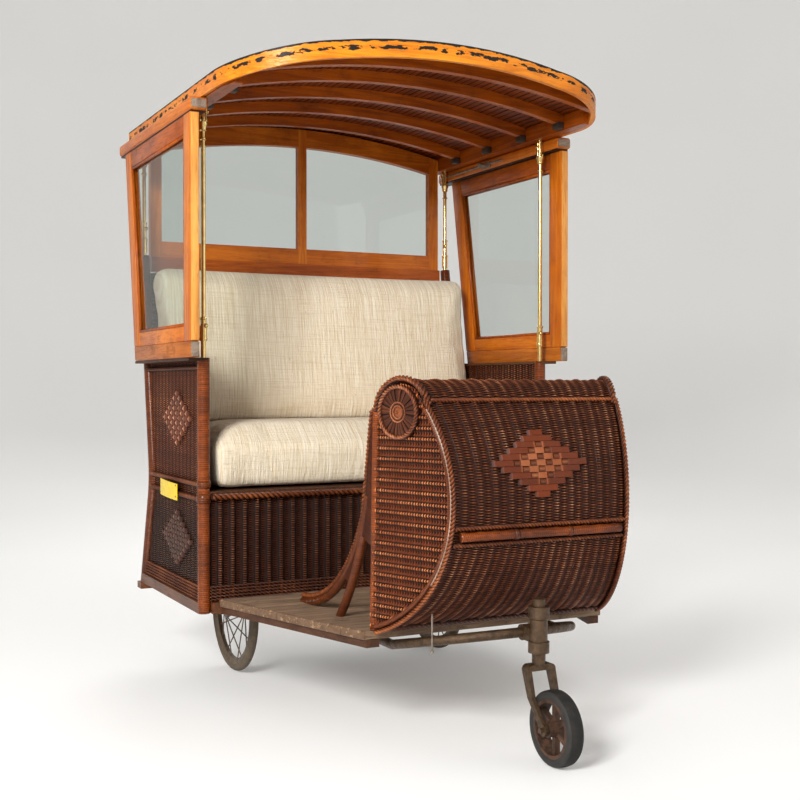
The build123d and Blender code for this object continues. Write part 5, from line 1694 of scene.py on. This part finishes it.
make_cushion("seat_pad", "seat_cushion", draw_in=0.010, cap=0.026, pull=seat_pull,
             backing=np.array((0.0, 0.0, -1.0)), widen=1.01)
make_cushion("back_pad", "back_cushion", draw_in=0.008, cap=0.028, pull=back_pull,
             backing=np.array((0.0, 1.0, 0.0)), widen=1.04)


# Ribbed tyre and fittings of the carriage and canopy
HEAD_NUT = ((0.0150, -0.001), (0.0150, 0.009), (0.0105, 0.012), (0.0095, 0.018), (0.0040, 0.021))
HEAD_COLLAR = ((0.0215, 0.0), (0.0245, 0.003), (0.0245, 0.014), (0.0215, 0.017))
LATCH_ROD = ((0.0020, 0.24), (0.0042, 0.245), (0.0042, 0.665), (0.0020, 0.67))
LATCH_KNOB = ((0.0030, -0.020), (0.0085, -0.018), (0.0085, -0.012), (0.0050, -0.010), (0.0050, 0.004),
              (0.0110, 0.006), (0.0110, 0.014), (0.0050, 0.018))
STAY_NAIL = ((0.0030, 0.0), (0.0027, 0.0010), (0.0004, 0.0016))
HANGING_PIN = ((0.0015, 0.246), (0.0042, 0.248), (0.0042, 0.253), (0.0022, 0.255), (0.0022, 0.340))


def ribbed_tyre():
    """The caster's tyre with grooves round its tread."""
    low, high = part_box("caster_tyre")
    middle = (low + high) / 2
    radius = (high.z - low.z) / 2
    half = (high.x - low.x) / 2
    tread = np.linspace(-half * 0.72, half * 0.72, 21)
    outer = radius - 0.0018 * (np.arange(21) % 2) - 0.0030 * (tread / half) ** 2
    wall = np.array([(radius * 0.70, half * 0.8), (radius * 0.84, half), (radius * 0.95, half * 0.92)])
    profile = np.concatenate([wall * (1, -1), np.stack([outer, tread], axis=1), wall[::-1]])
    sides, count = 72, len(profile)
    turn = np.arange(sides)[:, None] * 2 * pi / sides
    points = np.stack([np.broadcast_to(middle.x + profile[:, 1], (sides, count)),
                       middle.y + profile[:, 0] * np.cos(turn),
                       middle.z + profile[:, 0] * np.sin(turn)], axis=-1).reshape(-1, 3)
    ring = np.arange(sides)[:, None] * count
    on = (np.arange(sides)[:, None] + 1) % sides * count
    step = np.arange(count)[None, :]
    beside = (step + 1) % count
    faces = np.stack([ring + step, on + step, on + beside, ring + beside], axis=-1).reshape(-1, 4)
    piece = quad_mesh("caster_tread", RUBBER, points, faces, "caster_roller")
    stands_in([piece], "caster_tyre")


def make_head_nut():
    low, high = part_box("head_tube")
    place = ((low.x + high.x) / 2, POST_Y - 0.828, 0)
    nut = turned(HEAD_NUT, place, sides=6, base=high.z)
    collars = [turned(HEAD_COLLAR, place, sides=28, base=z) for z in (low.z + 0.004, high.z - 0.030)]
    piece = dressed(merged([nut] + collars), "head_nut", BRONZE)


def make_latch():
    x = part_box("roof_rails")[1].x + 0.004
    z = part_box("roof_plates")[0].z + 0.030
    rod = turned(LATCH_ROD, (x - 0.012, 0, z - 0.010), "Y", 12, base=POST_Y)
    knob = turned(LATCH_KNOB, (x - 0.024, POST_Y + 0.342, z - 0.012), "X", 14)
    foot = block((x - 0.018, POST_Y + 0.315, z - 0.022), (x - 0.006, POST_Y + 0.372, z - 0.002))
    soften(foot, 0.003)
    dressed(merged([rod, knob, foot]), "roof_latch", STEEL)


def make_stay_nails():
    rear, _ = stay_curves()
    nails = [stud(STAY_NAIL, (side * (STAY_X + 0.0112), y, z + 0.002), side)
             for y, z in rear[2:6] for side, _ in SIDES]
    dressed(merged(nails), "stay_nails", STEEL)


def make_rib_clips():
    low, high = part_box("roof_rails")
    inside = high.x - ROOF_RAIL_WIDTH
    clips = []
    for y in RIB_PLACES:
        for side, _ in SIDES:
            inner, outer = sorted((side * (inside - 0.022), side * (inside + 0.002)))
            clip = block((inner, POST_Y + y - 0.016, low.z + 0.003),
                         (outer, POST_Y + y + 0.016, low.z + 0.024))
            soften(clip, 0.003)
            clips.append(clip)
    piece = dressed(merged(clips), "rib_clips", IRON)


ribbed_tyre()
make_head_nut()
make_latch()
make_stay_nails()
make_rib_clips()
dressed(turned(HANGING_PIN, (-0.228, POST_Y - 0.724, 0), sides=10), "hanging_pin", STEEL)


# Materials of the nodes that stay
PLAIN = {
    "arm_rails": DARK_WOOD, "handle_bar": DULL_OAK["X"], "rear_window": REAR_OAK,
    "rear_rail": DEEP_OAK["X"], "roof_hoop": HOOP_OAK, "roof_ribs": DEEP_OAK["X"],
    "roof_rails": DEEP_OAK["Y"], "roof_slats": SLAT_OAK, "roof_cover": ROOF_CLOTH,
    "side_sills": SILL_WOOD, "cross_sills": SILL_WOOD, "rear_feet": SILL_WOOD, "floor_sills": DARK_WOOD,
    "seat_deck": DARK_WOOD, "side_glass": GLASS, "rear_glass": GLASS,
    "canopy_rods": BRASS, "carriage_tube": BRONZE, "head_tube": BRONZE, "caster_fork": BRONZE,
    "rear_axle": IRON, "axle_blocks": IRON, "handle_arms": IRON, "rear_wheel_left": RIM,
    "rear_wheel_right": RIM, "caster_wheel": RUST, "rear_tyre_left": OLD_TYRE, "rear_tyre_right": OLD_TYRE,
}
for node, material in PLAIN.items():
    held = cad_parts[node].data.materials
    held.clear()
    held.append(material)


# Stage, light and camera

def make_stage():
    fresh()
    bpy.ops.mesh.primitive_circle_add(vertices=96, radius=FLOOR_REACH, fill_type="NGON")
    floor = bpy.context.object
    floor.name = "studio_floor"
    bpy.ops.object.mode_set(mode="EDIT")
    bpy.ops.mesh.select_all(action="SELECT")
    bpy.ops.mesh.region_to_loop()
    was, height = FLOOR_REACH, 0.0
    for step in range(1, 12):
        angle = radians(9 * min(step, 10))
        wide = FLOOR_REACH + BOWL_RADIUS * sin(angle)
        climb = BOWL_RADIUS * (1 - cos(angle)) if step < 11 else BOWL_TOP
        bpy.ops.mesh.extrude_edges_move(TRANSFORM_OT_translate={"value": (0, 0, climb - height)})
        bpy.ops.transform.resize(value=(wide / was, wide / was, 1), center_override=(0, 0, 0))
        was, height = wide, climb
    bpy.ops.mesh.select_all(action="SELECT")
    bpy.ops.mesh.normals_make_consistent(inside=True)
    bpy.ops.object.mode_set(mode="OBJECT")
    bpy.ops.object.shade_smooth_by_angle(angle=radians(40))
    material, graph, shader = new_material("studio_floor")
    shade = graph.noise(graph.place(), 0.6, 2.0)
    colour = graph.mix(graph.span(shade, 0.3, 0.7), srgb(232, 231, 229), srgb(236, 235, 233))
    graph.join(colour, shader["Base Color"])
    tuned(shader, rough=0.9)
    shader["Emission Color"].default_value = srgb(240, 239, 237)
    path = graph.add("ShaderNodeLightPath").outputs
    mirrored = graph.math("MAXIMUM", path["Is Glossy Ray"], path["Is Transmission Ray"])
    seen = graph.math("MAXIMUM", path["Is Camera Ray"], mirrored)
    graph.join(graph.math("MULTIPLY", seen, STAGE_GLOW), shader["Emission Strength"])
    floor.data.materials.append(material)


def lamp(name, place, target, size, power):
    """A square lamp that looks at a target."""
    light = bpy.data.lights.new(name, "AREA")
    light.energy = power
    light.size = size
    holder = bpy.data.objects.new(name, light)
    holder.location = place
    holder.rotation_euler = (Vector(target) - Vector(place)).to_track_quat("-Z", "Y").to_euler()
    bpy.context.collection.objects.link(holder)


def make_light():
    world = bpy.data.worlds.new("studio")
    bpy.context.scene.world = world
    world.use_nodes = True
    sky = world.node_tree.nodes["Background"]
    sky.inputs["Color"].default_value = (1.0, 0.99, 0.97, 1.0)
    sky.inputs["Strength"].default_value = SKY_POWER
    for name, place, target, size, power in LAMPS:
        lamp(name, place, target, size, power)


def make_camera():
    data = bpy.data.cameras.new("camera")
    data.lens = CAMERA_LENS
    data.sensor_width = 36.0
    camera = bpy.data.objects.new("camera", data)
    camera.location = CAMERA_PLACE
    camera.rotation_euler = (radians(90 + CAMERA_PITCH), 0.0, radians(-CAMERA_YAW))
    bpy.context.collection.objects.link(camera)
    bpy.context.scene.camera = camera
    bpy.context.scene.view_settings.view_transform = "Standard"


make_stage()
make_light()
make_camera()
